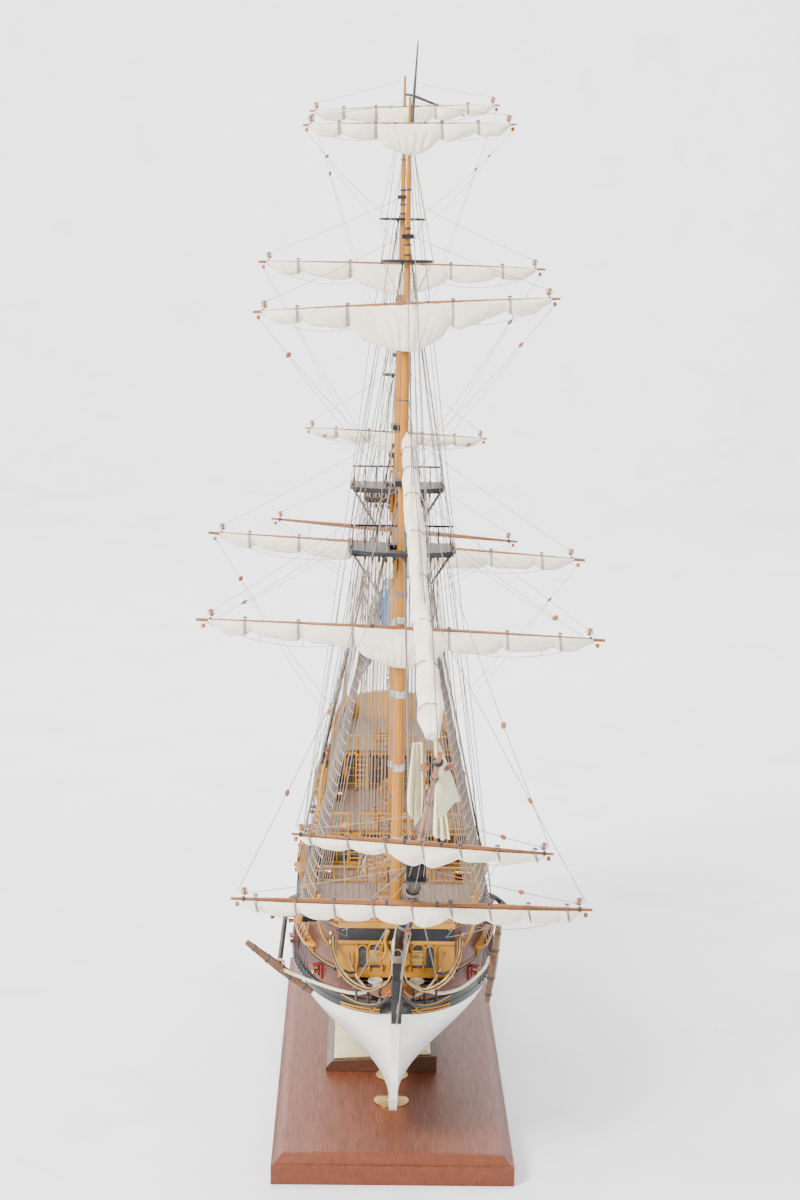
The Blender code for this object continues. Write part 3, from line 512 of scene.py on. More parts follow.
def link(name, data, looks):
    obj = bpy.data.objects.new(name, data)
    bpy.context.scene.collection.objects.link(obj)
    for look in looks:
        data.materials.append(LOOKS[look])
    return obj


def attach(obj, body):
    """Rides on a body; given a tuple (body_a, body_b, start, end), its transform is only baked into its
    mesh.
    """
    if isinstance(body, tuple):
        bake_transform(obj)
    else:
        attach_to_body(obj, body)
    return obj


def piece(name, shape, looks, body="hull", bevel=0.0, crease=38.0, rounded=0):
    mesh = bpy.data.meshes.new(name)
    mesh.from_pydata(shape.points, [], shape.faces)
    mesh.polygons.foreach_set("material_index", shape.marks)
    if shape.lays:
        lay = mesh.attributes.new("lay", "FLOAT_VECTOR", "POINT")
        for index, value in shape.lays.items():
            lay.data[index].vector = value
    built = bmesh.new()
    built.from_mesh(mesh)
    bmesh.ops.recalc_face_normals(built, faces=built.faces)
    built.to_mesh(mesh)
    built.free()
    mesh.shade_smooth()
    mesh.set_sharp_from_angle(angle=math.radians(crease))
    obj = link(name, mesh, looks)
    if bevel:
        edge = obj.modifiers.new("rounded edges", "BEVEL")
        edge.width = bevel
        edge.segments = 2
        edge.angle_limit = math.radians(35)
        edge.use_clamp_overlap = True
    if rounded:
        smooth = obj.modifiers.new("smooth", "SUBSURF")
        smooth.levels = rounded
        smooth.render_levels = rounded
    return attach(obj, body)


def loft(rings, caps=True):
    """Skin through closed rings of equal length."""
    count = len(rings[0])
    points = [p for ring in rings for p in ring]
    faces = []
    for k in range(len(rings) - 1):
        for i in range(count):
            j = (i + 1) % count
            faces.append((k * count + i, k * count + j, (k + 1) * count + j, (k + 1) * count + i))
    if caps:
        last = (len(rings) - 1) * count
        faces.append(tuple(reversed(range(count))))
        faces.append(tuple(range(last, last + count)))
    return points, faces


def grid(rows):
    """Open skin through rows of equal length."""
    count = len(rows[0])
    points = [p for row in rows for p in row]
    faces = []
    for k in range(len(rows) - 1):
        for i in range(count - 1):
            a = k * count + i
            faces.append((a, a + 1, a + count + 1, a + count))
    return points, faces


def tube(path, radius, sides=8, lobes=0, pitch=0.0, squeeze=1.0):
    """Round, or laid with lobes that wind once a pitch, along a path; radius may vary."""
    path = [Vector(p) for p in path]
    radii = list(radius) if hasattr(radius, "__len__") else [radius] * len(path)
    rings = []
    side = None
    run = 0.0
    for k, point in enumerate(path):
        ahead = path[min(k + 1, len(path) - 1)] - path[max(k - 1, 0)]
        ahead = ahead.normalized() if ahead.length > 1e-9 else Vector((0, 0, 1))
        if side is None:
            side = ahead.orthogonal().normalized()
        side = side - ahead * side.dot(ahead)
        side = side.normalized() if side.length > 1e-6 else ahead.orthogonal().normalized()
        other = ahead.cross(side)
        if k:
            run += (point - path[k - 1]).length
        turn = 2 * math.pi * run / pitch if pitch else 0.0
        ring = []
        for i in range(sides):
            angle = 2 * math.pi * i / sides
            swell = 0.86 + 0.20 * abs(math.cos(lobes * (angle - turn) / 2)) if lobes else 1.0
            reach = radii[k] * swell
            ring.append(point + side * (math.cos(angle) * reach)
                        + other * (math.sin(angle) * reach * squeeze))
        rings.append(ring)
    return loft(rings)


def lathe(profile, base, axis=(0, 0, 1), sides=14, flatten=1.0, across=None):
    """Turned solid: profile holds (radius, height) along the axis from base."""
    axis = Vector(axis).normalized()
    side = Vector(across) if across else axis.orthogonal()
    side = (side - axis * side.dot(axis)).normalized()
    other = axis.cross(side)
    rings = []
    for radius, height in profile:
        radius = max(radius, 0.00004)
        center = Vector(base) + axis * height
        rings.append([center + side * (math.cos(a) * radius) + other * (math.sin(a) * radius * flatten)
                      for a in (2 * math.pi * i / sides for i in range(sides))])
    return loft(rings)


def box(center, size, turn=None):
    turn = turn or Matrix.Identity(3)
    half = Vector(size) / 2
    corners = []
    for z in (-1, 1):
        for x, y in ((-1, -1), (1, -1), (1, 1), (-1, 1)):
            corners.append(Vector(center) + turn @ Vector((x * half.x, y * half.y, z * half.z)))
    faces = [(3, 2, 1, 0), (4, 5, 6, 7), (0, 1, 5, 4), (1, 2, 6, 5), (2, 3, 7, 6), (3, 0, 4, 7)]
    return corners, faces


def beam(a, b, width, height, up=(0, 0, 1)):
    """Square bar from a to b."""
    a, b = Vector(a), Vector(b)
    ahead = (b - a).normalized()
    side = ahead.cross(Vector(up)).normalized()
    top = side.cross(ahead)
    turn = Matrix((side, ahead, top)).transposed()
    return box((a + b) / 2, (width, (b - a).length, height), turn)


def plate(outline, normal, thickness):
    """Flat outline (3-D points) given a thickness along its normal."""
    normal = Vector(normal).normalized() * thickness / 2
    return loft([[Vector(p) - normal for p in outline], [Vector(p) + normal for p in outline]])


def arc(center, radius, start, end, count, plane="XZ"):
    """Points on an arc, angles in degrees, in a plane through center."""
    u, v = {"XZ": (Vector((1, 0, 0)), Vector((0, 0, 1))), "YZ": (Vector((0, 1, 0)), Vector((0, 0, 1))),
            "XY": (Vector((1, 0, 0)), Vector((0, 1, 0)))}[plane]
    angles = [math.radians(lerp(start, end, i / (count - 1))) for i in range(count)]
    return [Vector(center) + u * (radius * math.cos(a)) + v * (radius * math.sin(a)) for a in angles]


def smooth_path(points, steps=8):
    """Catmull-Rom curve through the points."""
    points = [Vector(p) for p in points]
    ends = [points[0] * 2 - points[1]] + points + [points[-1] * 2 - points[-2]]
    path = []
    for k in range(1, len(ends) - 2):
        a, b, c, d = ends[k - 1:k + 3]
        for i in range(steps):
            t = i / steps
            path.append(0.5 * (2 * b + (c - a) * t + (2 * a - 5 * b + 4 * c - d) * t * t
                               + (3 * b - a - 3 * c + d) * t ** 3))
    return path + [points[-1]]


def sagging(a, b, sag=0.0, count=9):
    """Line from a to b that hangs by sag metres at its middle."""
    a, b = Vector(a), Vector(b)
    return [a.lerp(b, i / (count - 1)) - Vector((0, 0, 4 * sag * (i / (count - 1)) * (1 - i / (count - 1))))
            for i in range(count)]


def ropes(name, lines, radius, look, body="hull"):
    """Many thin lines as one curve object; each line is a list of points."""
    data = bpy.data.curves.new(name, "CURVE")
    data.dimensions = "3D"
    data.bevel_depth = radius
    data.bevel_resolution = 1
    data.use_fill_caps = True
    for line in lines:
        spline = data.splines.new("POLY")
        spline.points.add(len(line) - 1)
        spline.points.foreach_set("co", [c for p in line for c in (*p, 1.0)])
    return attach(link(name, data, [look]), body)


def block(center, size, along=(0, 0, 1), across=None):
    """Wooden pulley block: an egg-shaped shell with a groove round it."""
    outline = [(0.10, -0.50), (0.30, -0.44), (0.41, -0.25), (0.43, 0.0), (0.41, 0.25), (0.30, 0.44),
               (0.10, 0.50)]
    along = Vector(along).normalized()
    base = Vector(center)
    return lathe([(r * size, h * size) for r, h in outline], base, along, 12, 0.62, across)


def strap(center, size, along=(0, 0, 1), across=None):
    """The rope that goes round a block."""
    along = Vector(along).normalized()
    side = Vector(across) if across else along.orthogonal()
    side = (side - along * side.dot(along)).normalized()
    ring = []
    for i in range(13):
        a = 2 * math.pi * i / 12
        ring.append(Vector(center) + along * (0.54 * size * math.cos(a))
                    + side * (0.46 * size * math.sin(a)))
    return tube(ring, size * 0.075, 5)


def deadeye(shape, center, radius, facing):
    """Round three-holed deadeye with a grooved rim; marks 0 wood, 1 dark plugs painted as the shade inside
    the holes.
    """
    facing = Vector(facing).normalized()
    half = radius * 0.45
    rim = [(0.80, -1), (0.98, -0.75), (0.90, 0), (0.98, 0.75), (0.80, 1)]
    shape.add(lathe([(r * radius, h * half) for r, h in rim], center, facing, 12))
    side = facing.orthogonal().normalized()
    up = facing.cross(side)
    # each hole is a dark plug: painted shade inside the hole
    for k in range(3):
        a = math.radians(90 + 120 * k)
        hole = Vector(center) + (side * math.cos(a) + up * math.sin(a)) * radius * 0.48
        shape.add(lathe([(0.17 * radius, -1.05 * half), (0.17 * radius, 1.05 * half)], hole, facing, 6), 1)


# ---------------------------------------------------------------- hull skin

def share_of(count, ease=1.0):
    return [(i / (count - 1)) ** ease for i in range(count)]


def hull_stations():
    """Fine stations, closer together at the ends."""
    return [0.5 - 0.5 * math.cos(math.pi * t) if 0 < t < 1 else t for t in share_of(90)]


def make_hull_skin():
    rings = []
    rows = share_of(30, 1.25)
    for s in hull_stations():
        port = [hull_point(s, v) for v in rows]
        rings.append([mirrored(p, -1) for p in reversed(port)] + port)
    shape = Shape().add(loft(rings))
    skin = piece("hull_planking", shape, ["white"], crease=50)
    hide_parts("lower_hull")


def wale_section(s, low, high, proud, back=-0.0012):
    round_off = 0.0005
    ring = []
    for z, out in ((low, proud - round_off), (low + round_off, proud), (high - round_off, proud),
                   (high, proud - round_off), (high, back), (low, back)):
        p = side_offset(s, z, out)
        ring.append(Vector((p.x, p.y, z)))
    return ring


def side_strip(stations, low, high, proud, back=-0.0008):
    """Moulding along the side; low and high are functions of the station."""
    return [wale_section(s, low(s), high(s), proud, back) for s in stations]


def make_wales():
    stations = [0.0015, 0.004, 0.008, 0.012] + [s for s in hull_stations() if s > 0.014] + [1.0]
    for side, sign in SIDES.items():
        rings = side_strip(stations, wale_z, lambda s: wale_z(s) + WALE_HEIGHT, WALE_PROUD)
        shape = Shape().add(loft([[mirrored(p, sign) for p in ring] for ring in rings]))
        seam = side_strip(stations, lambda s: wale_z(s) + 0.0042, lambda s: wale_z(s) + 0.0050,
                          WALE_PROUD + 0.00025)
        shape.add(loft([[mirrored(p, sign) for p in ring] for ring in seam]))
        wale = piece(f"wale_{side}_strakes", shape, ["black"])
        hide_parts(f"wale_{side}")


def section_stations(start, end, z, count):
    a, b = station_at(start, z), station_at(end, z)
    return [lerp(a, b, i / (count - 1)) for i in range(count)]


SIDE_SECTIONS = (
    ("beak", -0.215, BULKHEAD_Y, LOW_BOW_RAIL, 10),
    ("forecastle", BULKHEAD_Y, FORECASTLE_END, FORECASTLE_RAIL, 30),
    ("waist", FORECASTLE_END, QUARTER_START, WAIST_RAIL, 20),
    ("quarter", QUARTER_START, POOP_START, QUARTER_RAIL, 26),
    ("poop", POOP_START, 0.300, POOP_RAIL, 30),
)


def section_span(name, start, end, rail, count):
    stations = section_stations(start, end, rail, count)
    if name == "beak":
        stations[0] = 0.014
    if name == "poop":
        stations[-1] = 1.0
    return stations


def make_topsides():
    """Mahogany planking outside, paler bulwark planking inside, one run for each deck."""
    for side, sign in SIDES.items():
        shape = Shape()
        for name, start, end, rail, count in SIDE_SECTIONS:
            rings, lays = [], []
            for s in section_span(name, start, end, rail, count):
                foot = wale_z(s) + WALE_HEIGHT - 0.0006
                heights = [lerp(foot, rail, t) for t in share_of(10)]
                outer = [side_offset(s, z, 0.0) for z in heights]
                inner = [side_offset(s, z, -SIDE_THICKNESS) for z in reversed(heights)]
                rings.append([mirrored((p.x, p.y, z), sign) for p, z in
                              list(zip(outer, heights)) + list(zip(inner, reversed(heights)))])
                lays.extend((p.y, z - foot, 0) for p, z in
                            list(zip(outer, heights)) + list(zip(inner, reversed(heights))))
            points, faces = loft(rings)
            first = len(shape.faces)
            shape.add((points, faces), 0, lays)
            for index, face in enumerate(faces[:-2]):
                if min(i % 20 for i in face) >= 9:
                    shape.marks[first + index] = 1
        planking = piece(f"topside_{side}_planking", shape, ["mahogany", "inner"],
                         crease=30)
        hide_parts(f"topside_{side}")


def rail_strip(start, end, z, width, height, out, count=24, name=""):
    """Cap rail lying on the bulwark's top edge."""
    rings = []
    for s in section_span(name, start, end, z, count):
        ring = []
        for dz, d in ((0, out), (height * 0.5, out + 0.0003), (height, out - 0.0002),
                      (height, out - width + 0.0002), (height * 0.5, out - width - 0.0003),
                      (0, out - width)):
            p = side_offset(s, z, d)
            ring.append(Vector((p.x, p.y, z + dz)))
        rings.append(ring)
    return rings


def make_cap_rails():
    for side, sign in SIDES.items():
        shape = Shape()
        for name, start, end, rail, count in SIDE_SECTIONS:
            rings = rail_strip(start, end, rail, 0.0040, 0.0014, 0.0009, count, name)
            shape.add(loft([[mirrored(p, sign) for p in ring] for ring in rings]),
                      1 if name in ("beak", "waist") else 0)
        for start in (FORECASTLE_END, QUARTER_START, POOP_START):
            lower, upper = rail_z(start - 0.001), rail_z(start + 0.001)
            top = max(lower, upper)
            bottom = min(lower, upper)
            step = 1 if lower < upper else -1
            for k in range(7):
                radius = lerp(0.0024, 0.0010, k / 6)
                z = lerp(top, bottom + 0.002, k / 6)
                p = side_at(start + step * 0.0006 - step * 0.004 * math.sin(math.pi * k / 12), z, -0.0011)
                shape.add(lathe([(radius * 0.8, -0.0016), (radius, -0.001), (radius, 0.001),
                                 (radius * 0.8, 0.0016)], mirrored((p.x, p.y, z), sign), (1, 0, 0), 10))
        piece(f"cap_rail_{side}", shape, ["ochre", "black"])


def make_side_mouldings():
    """Ochre sheer moulding and black fender strakes along the topsides."""
    for side, sign in SIDES.items():
        shape = Shape()
        for name, start, end, rail, count in SIDE_SECTIONS[1:]:
            span = section_span(name, start, end, rail, count)
            low = rail - 0.0042
            rings = side_strip(span, lambda s: low, lambda s: low + 0.0013, 0.0008)
            shape.add(loft([[mirrored(p, sign) for p in ring] for ring in rings]))
        stations = [s for s in hull_stations() if 0.05 < s < 0.995]
        rings = side_strip(stations, lambda s: wale_z(s) + 0.0215, lambda s: wale_z(s) + 0.0232, 0.0009)
        shape.add(loft([[mirrored(p, sign) for p in ring] for ring in rings]), 1)
        rings = side_strip(stations, lambda s: wale_z(s) + 0.0236, lambda s: wale_z(s) + 0.0242, 0.0007)
        shape.add(loft([[mirrored(p, sign) for p in ring] for ring in rings]))
        piece(f"side_moulding_{side}", shape, ["ochre", "black"])


def port_frame(shape, y, z, width, height, sign):
    """Square gunport: a dark plate painted as the shade of the open port, a red lid frame and a raised
    moulding.
    """
    center = side_at(y, z, 0.0)
    normal = side_normal(station_at(y, z), z)
    tangent = Vector((-normal.y, normal.x, 0))
    turn = Matrix((tangent, normal, Vector((0, 0, 1)))).transposed()
    flip = Matrix.Diagonal((sign, 1, 1))

    def put(offset, size, mark):
        corners, faces = box(Vector((center.x, center.y, z)) + turn @ Vector(offset), size, turn)
        shape.add(([flip @ c for c in corners], faces), mark)

    # dark plate over the opening: painted shade of the port's recess, in the blackened iron look
    put((0, 0.0001, 0), (width, 0.0010, height), 1)
    edge = 0.0011
    for dz in (-1, 1):
        put((0, 0.0006, dz * (height + edge) / 2), (width + 2 * edge, 0.0014, edge), 0)
    for dx in (-1, 1):
        put((dx * (width + edge) / 2, 0.0006, 0), (edge, 0.0014, height), 0)
    put((0, 0.0032, height / 2 + 0.0008), (width + 0.0006, 0.0058, 0.0009), 0)
    muzzle = Vector((center.x, center.y, z)) + turn @ Vector((0, -0.002, 0))
    barrel = [(0.0010, 0.0), (0.0012, 0.0045), (0.0012, 0.0062), (0.0015, 0.0068), (0.0014, 0.0078),
              (0.0008, 0.0079), (0.0007, 0.0070)]
    corners, faces = lathe(barrel, muzzle, normal, 12)
    shape.add(([flip @ c for c in corners], faces), 2)


def make_gunports():
    """Ports in the bow, the waist and under the quarterdeck, each with its gun's muzzle."""
    for side, sign in SIDES.items():
        shape = Shape()
        for y in (-0.165, -0.098, -0.048, -0.006, 0.066, 0.106, 0.146, 0.186):
            s = station_at(y, 0.13)
            width = 0.0040 if y < -0.15 else 0.0072
            port_frame(shape, y, wale_z(s) + 0.0165, width, 0.0066, sign)
        piece(f"gunports_{side}", shape, ["red", "iron", "brass"], bevel=0.0001)


# ---------------------------------------------------------------- finishes of the frame's own parts

CAD_LOOKS = {
    "board": ["baseboard"], "walnut": ["nameplate_block"], "plate": ["nameplate_plate"],
    "brass": ["pedestal_front", "pedestal_rear"], "white": ["keel_and_stem", "rudder"],
    "deck": ["main_deck", "forecastle_deck", "quarter_deck", "poop_deck"],
    "ochre": ["beakhead_bulkhead", "transom"], "black": ["bowsprit", "fore_top", "main_top", "mizzen_top"],
    "mast": ["fore_lower_mast", "main_lower_mast", "mizzen_lower_mast", "fore_upper_mast",
             "main_upper_mast", "mizzen_upper_mast"],
    "sprit": ["jibboom", "mizzen_gaff"], "fitting": ["steering_wheel", "capstan"],
    "iron": ["anchor_port", "anchor_starboard"],
    "walnut_stock": ["anchor_stock_port", "anchor_stock_starboard"],
    "yard": [f"{y}_yard" for y in (*YARDS, *HEAD_YARDS)],
    "inner": ["ships_boat"],
}


def finish_frame_parts():
    LOOKS["walnut_stock"] = wood("stock_walnut", (0.075, 0.032, 0.014), (0.20, 0.095, 0.042),
                                 (600, 600, 600), 0.4, 0.2)
    LOOKS["boat"] = wood("boat_wood", (0.34, 0.20, 0.10), (0.62, 0.45, 0.28), (900, 45, 900), 0.45, 0.1)
    for look, nodes in CAD_LOOKS.items():
        for node in nodes:
            obj = bpy.data.objects[node]
            chosen = "boat" if node == "ships_boat" else look
            for place in obj.material_slots:
                place.material = LOOKS[chosen]


# ---------------------------------------------------------------- camera, floor and lights

def make_camera():
    """A standing viewer's eye in front of the bow, looking slightly down."""
    camera = bpy.data.cameras.new("viewpoint")
    camera.lens = 69.0
    camera.sensor_width = 36.0
    camera.clip_start = 0.05
    camera.clip_end = 20.0
    obj = bpy.data.objects.new("viewpoint", camera)
    bpy.context.scene.collection.objects.link(obj)
    obj.location = (-0.0259, -1.5236, 0.6024)
    yaw, pitch, roll = 0.0183, 0.1762, 0.0173
    ahead = Vector((math.sin(yaw) * math.cos(pitch), math.cos(yaw) * math.cos(pitch), -math.sin(pitch)))
    right = Vector((math.cos(yaw), -math.sin(yaw), 0))
    up = right.cross(ahead)
    right, up = (right * math.cos(roll) + up * math.sin(roll),
                 up * math.cos(roll) - right * math.sin(roll))
    obj.rotation_euler = Matrix((right, up, -ahead)).transposed().to_euler()
    bpy.context.scene.camera = obj


def make_floor():
    """Pale stone-coloured sweep: flat under the board, rising far behind it."""
    look = Look("pale_floor", (0.66, 0.66, 0.665), 0.62)
    vein = look.noise((9, 9, 9), 8.0, 0.65, 0.6)
    look.color(look.ramp(vein, (0.34, (0.74, 0.74, 0.745)), (0.46, (0.80, 0.80, 0.80)),
                         (0.80, (0.82, 0.82, 0.82))))
    wide, deep, back, radius, high = 6.0, -5.0, 2.6, 1.0, 5.0
    profile = [(deep, 0.0), (back, 0.0)]
    profile += [(back + radius * math.sin(a), radius - radius * math.cos(a))
                for a in (math.pi / 2 * k / 12 for k in range(1, 13))]
    profile.append((back + radius, high))
    rows = [[(x, y, z - 0.0001) for y, z in profile] for x in (-wide, wide)]
    shape = Shape().add(grid(rows))
    mesh = bpy.data.meshes.new("floor")
    mesh.from_pydata(shape.points, [], shape.faces)
    mesh.shade_smooth()
    mesh.materials.append(look.material)
    obj = bpy.data.objects.new("floor", mesh)
    bpy.context.scene.collection.objects.link(obj)


def make_light(name, location, target, size, power, color=(1, 1, 1)):
    light = bpy.data.lights.new(name, "AREA")
    light.shape = "RECTANGLE"
    light.size, light.size_y = size
    light.energy = power
    light.color = color
    obj = bpy.data.objects.new(name, light)
    bpy.context.scene.collection.objects.link(obj)
    obj.location = location
    aim = Vector(target) - Vector(location)
    obj.rotation_euler = aim.to_track_quat("-Z", "Y").to_euler()


def make_lights():
    """A big soft window light from the left front, a gentle fill and a lift on the backdrop."""
    world = bpy.data.worlds.new("studio")
    world.use_nodes = True
    sky = world.node_tree.nodes["Background"]
    sky.inputs["Color"].default_value = (0.93, 0.95, 1.0, 1)
    sky.inputs["Strength"].default_value = 0.82
    bpy.context.scene.world = world
    make_light("window", (-1.5, -1.6, 1.7), (0, 0, 0.30), (0.9, 1.1), 190.0, (1.0, 0.985, 0.96))
    make_light("fill", (1.7, -1.7, 0.9), (0, 0, 0.30), (1.2, 1.2), 26.0, (0.95, 0.97, 1.0))
    make_light("backdrop", (0.0, 1.2, 3.0), (0, 3.0, 0.4), (3.6, 1.4), 300.0)


# ---------------------------------------------------------------- spars: places and frames

def yard_body(name):
    return f"{name}_spar"


def yard_frame(name):
    """Centre of the yard, its direction to port, half length, radius, sail and bunt depth, bunt share."""
    if name in YARDS:
        mast, z, half, radius, tilt, depth, bunt, share = YARDS[name]
        upper = z > MASTS[mast]["top"]
        mast_radius = MASTS[mast]["r"] * (UPPER_SHARE if upper else 1)
        y = MASTS[mast]["y"] - (DOUBLING if upper else 0) - mast_radius - radius - 0.0006
        center = Vector((0, y, z))
    else:
        y, z, half, radius, tilt, depth, bunt, share = HEAD_YARDS[name]
        center = Vector((SPRIT_HEEL.x + SPRIT_YAW * (SPRIT_HEEL.y - y), y, z))
    tilt = math.radians(tilt)
    return center, Vector((math.cos(tilt), 0, math.sin(tilt))), half, radius, depth, bunt, share


def yard_point(name, share, up=0.0, forward=0.0):
    """Point at a share of the half length (-1 starboard arm, 1 port arm)."""
    center, ahead, half = yard_frame(name)[:3]
    return center + ahead * (half * share) + Vector((0, -forward, up))


def sprit_axis():
    flat = Vector((SPRIT_YAW, -1, 0)).normalized()
    return (flat * math.cos(STEEVE) + Vector((0, 0, math.sin(STEEVE)))).normalized()


def sprit_point(distance, lift=0.0):
    up = sprit_axis().cross(Vector((1, 0, 0))).normalized()
    up = up if up.z > 0 else -up
    return SPRIT_HEEL + sprit_axis() * distance + up * lift


def boom_point(distance):
    """Point along the jibboom, measured from its heel on the bowsprit."""
    return sprit_point(JIBBOOM_START + distance, SPRIT_RADIUS + JIBBOOM_RADIUS + 0.001)


# ---------------------------------------------------------------- sails

def gasket_places(name):
    if name in HEAD_YARDS:
        count = 9 if name == "spritsail" else 7
        return [lerp(-0.86, 0.86, i / (count - 1)) for i in range(count)]
    return {"fore_course": (-0.76, -0.50, -0.235, 0.235, 0.52, 0.78),
            "main_course": (-0.78, -0.52, -0.25, 0.24, 0.50, 0.77),
            "fore_topsail": (-0.71, -0.385, 0.30, 0.67),
            "main_topsail": (-0.72, -0.36, 0.34, 0.70),
            "fore_topgallant": (-0.66, -0.32, 0.30, 0.64),
            "main_topgallant": (-0.64, -0.30, 0.32, 0.66),
            "mizzen_topsail": (-0.66, -0.30, 0.28, 0.64)}[name]


def furl(name, u):
    """Depth and half thickness of the furled roll at share u of its length."""
    half, depth, bunt, share = (yard_frame(name)[i] for i in (2, 4, 5, 6))
    seed = sum(map(ord, name)) * 0.37
    end = smoothstep((1 - abs(u)) / 0.13) ** 0.6
    body = depth * (0.62 + 0.38 * (1 - abs(u) ** 2.2))
    body *= 1 + 0.16 * noise.noise(Vector((u * 5.5, seed, 0)))
    pinch = max(math.exp(-((u - g) * half / 0.0034) ** 2) for g in gasket_places(name))
    places = [-1.0, *gasket_places(name), 1.0]
    puff = 0.0
    for a, b in zip(places, places[1:]):
        if a <= u <= b:
            puff = math.sin(math.pi * (u - a) / (b - a)) ** 0.7
    body *= 0.90 + 0.12 * puff
    drop = (bunt - depth) * (1 - smoothstep(abs(u) / (share * 1.9))) ** 1.15
    thick = 0.0044 * (0.70 + 0.36 * puff) * (0.55 + 0.45 * (1 - abs(u) ** 2))
    thick *= 1 + 0.18 * (drop / max(bunt, 1e-6))
    scale = 1 - 0.22 * pinch
    return (body * scale + drop * (1 - 0.25 * pinch)) * end + 0.0006, (thick * scale) * end + 0.0004


def sail_ring(name, u, sides):
    """One closed section of the roll: it hangs from the yard's front and bellies down."""
    center, ahead, half, radius = yard_frame(name)[:4]
    depth, thick = furl(name, u)
    seed = sum(map(ord, name)) * 0.71
    middle = center + ahead * (half * 0.955 * u)
    bunt = yard_frame(name)[5]
    heavy = clamp((depth - 0.010) / max(bunt - 0.010, 1e-6))
    rise = radius * (-0.30 if name in HEAD_YARDS else 0.40)
    ring = []
    for i in range(sides):
        angle = 2 * math.pi * i / sides
        across = math.cos(angle)
        height = math.sin(angle)
        belly = 1 + 0.22 * (1 - height) * (1 - abs(across) * 0.3)
        crease = 0.10 * math.sin(3 * angle + 2.2 * noise.noise(Vector((u * 7, seed, 1))))
        crease += 0.055 * math.sin(7 * angle + u * 46 + seed)
        crease += 0.10 * noise.noise(Vector((u * 16, across * 1.5, height * 2.2 + seed)))
        sway = math.sin(u * half * 900 * (1.25 - 0.5 * height) + seed)
        drape = 0.13 * heavy * sway * (0.5 - 0.5 * height)
        swell = 1 + crease
        forward = thick * across * belly * (swell + drape)
        if across < 0:
            forward *= 0.62
        down = depth * (0.5 - 0.5 * height * (1 + 0.25 * crease))
        lean = 0.0012 + 0.0014 * (1 - down / max(depth, 1e-6))
        ring.append(middle + Vector((0, -(forward + lean), rise - down)))
    return ring


def make_sail(name):
    half = yard_frame(name)[2]
    count = int(half * 2 / 0.0011)
    rings = [sail_ring(name, lerp(-0.985, 0.985, i / count), 30) for i in range(count + 1)]
    shape = Shape().add(loft(rings))
    sail = piece(f"{name}_furled", shape, ["canvas"], yard_body(name), crease=70)
    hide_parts(f"{name}_sail")


def outline_round(points):
    """Convex outline of points in a plane, in order round it."""
    points = sorted(set(points))

    def half(run):
        kept = []
        for p in run:
            while len(kept) > 1 and (kept[-1][0] - kept[-2][0]) * (p[1] - kept[-2][1]) <= \
                    (kept[-1][1] - kept[-2][1]) * (p[0] - kept[-2][0]):
                kept.pop()
            kept.append(p)
        return kept[:-1]

    return half(points) + half(points[::-1])


def gasket_loop(name, u, slant=0.0):
    """Rope drawn taut round the yard and the roll together."""
    center, ahead, half, radius = yard_frame(name)[:4]
    middle = center + ahead * (half * u)
    ring = sail_ring(name, u / 0.955, 24)
    core = sum(ring, Vector()) / len(ring)
    around = []
    for p in ring:
        out = Vector((0, p.y - core.y, p.z - core.z)).normalized() * 0.00035
        around.append((round(p.y + out.y, 6), round(p.z + out.z, 6)))
    for i in range(16):
        angle = 2 * math.pi * i / 16
        around.append((round(middle.y + (radius + 0.0004) * math.cos(angle), 6),
                       round(middle.z + (radius + 0.0004) * math.sin(angle), 6)))
    loop = outline_round(around)
    loop.append(loop[0])
    low = min(z for y, z in loop)
    tall = max(z for y, z in loop) - low
    return [Vector((middle.x + slant * (1 - 2 * (z - low) / tall), y, z)) for y, z in loop]


def make_gaskets(name):
    head = name in HEAD_YARDS
    ahead, half, radius = yard_frame(name)[1:4]
    bands, knots = [], []
    for g in gasket_places(name):
        for step in ((0.0,) if head else (-0.0005, 0.0004)):
            bands.append(gasket_loop(name, g + step / half, 0.0014 if head else 0.0003))
        if head:
            bands.append(gasket_loop(name, g + 0.0006 / half, 0.0008))
        knots.append(tube(sagging(yard_point(name, g, radius + 0.0006, -0.0004) - ahead * 0.0012,
                                  yard_point(name, g, radius + 0.0006, 0.0004) + ahead * 0.0012, 0, 3),
                          [0.0004, 0.0008, 0.0004], 6))
    ropes(f"{name}_gaskets", bands, 0.00020, "tarred", yard_body(name))
    shape = Shape()
    for knot in knots:
        shape.add(knot)
    piece(f"{name}_gasket_knots", shape, ["tarred"], yard_body(name))


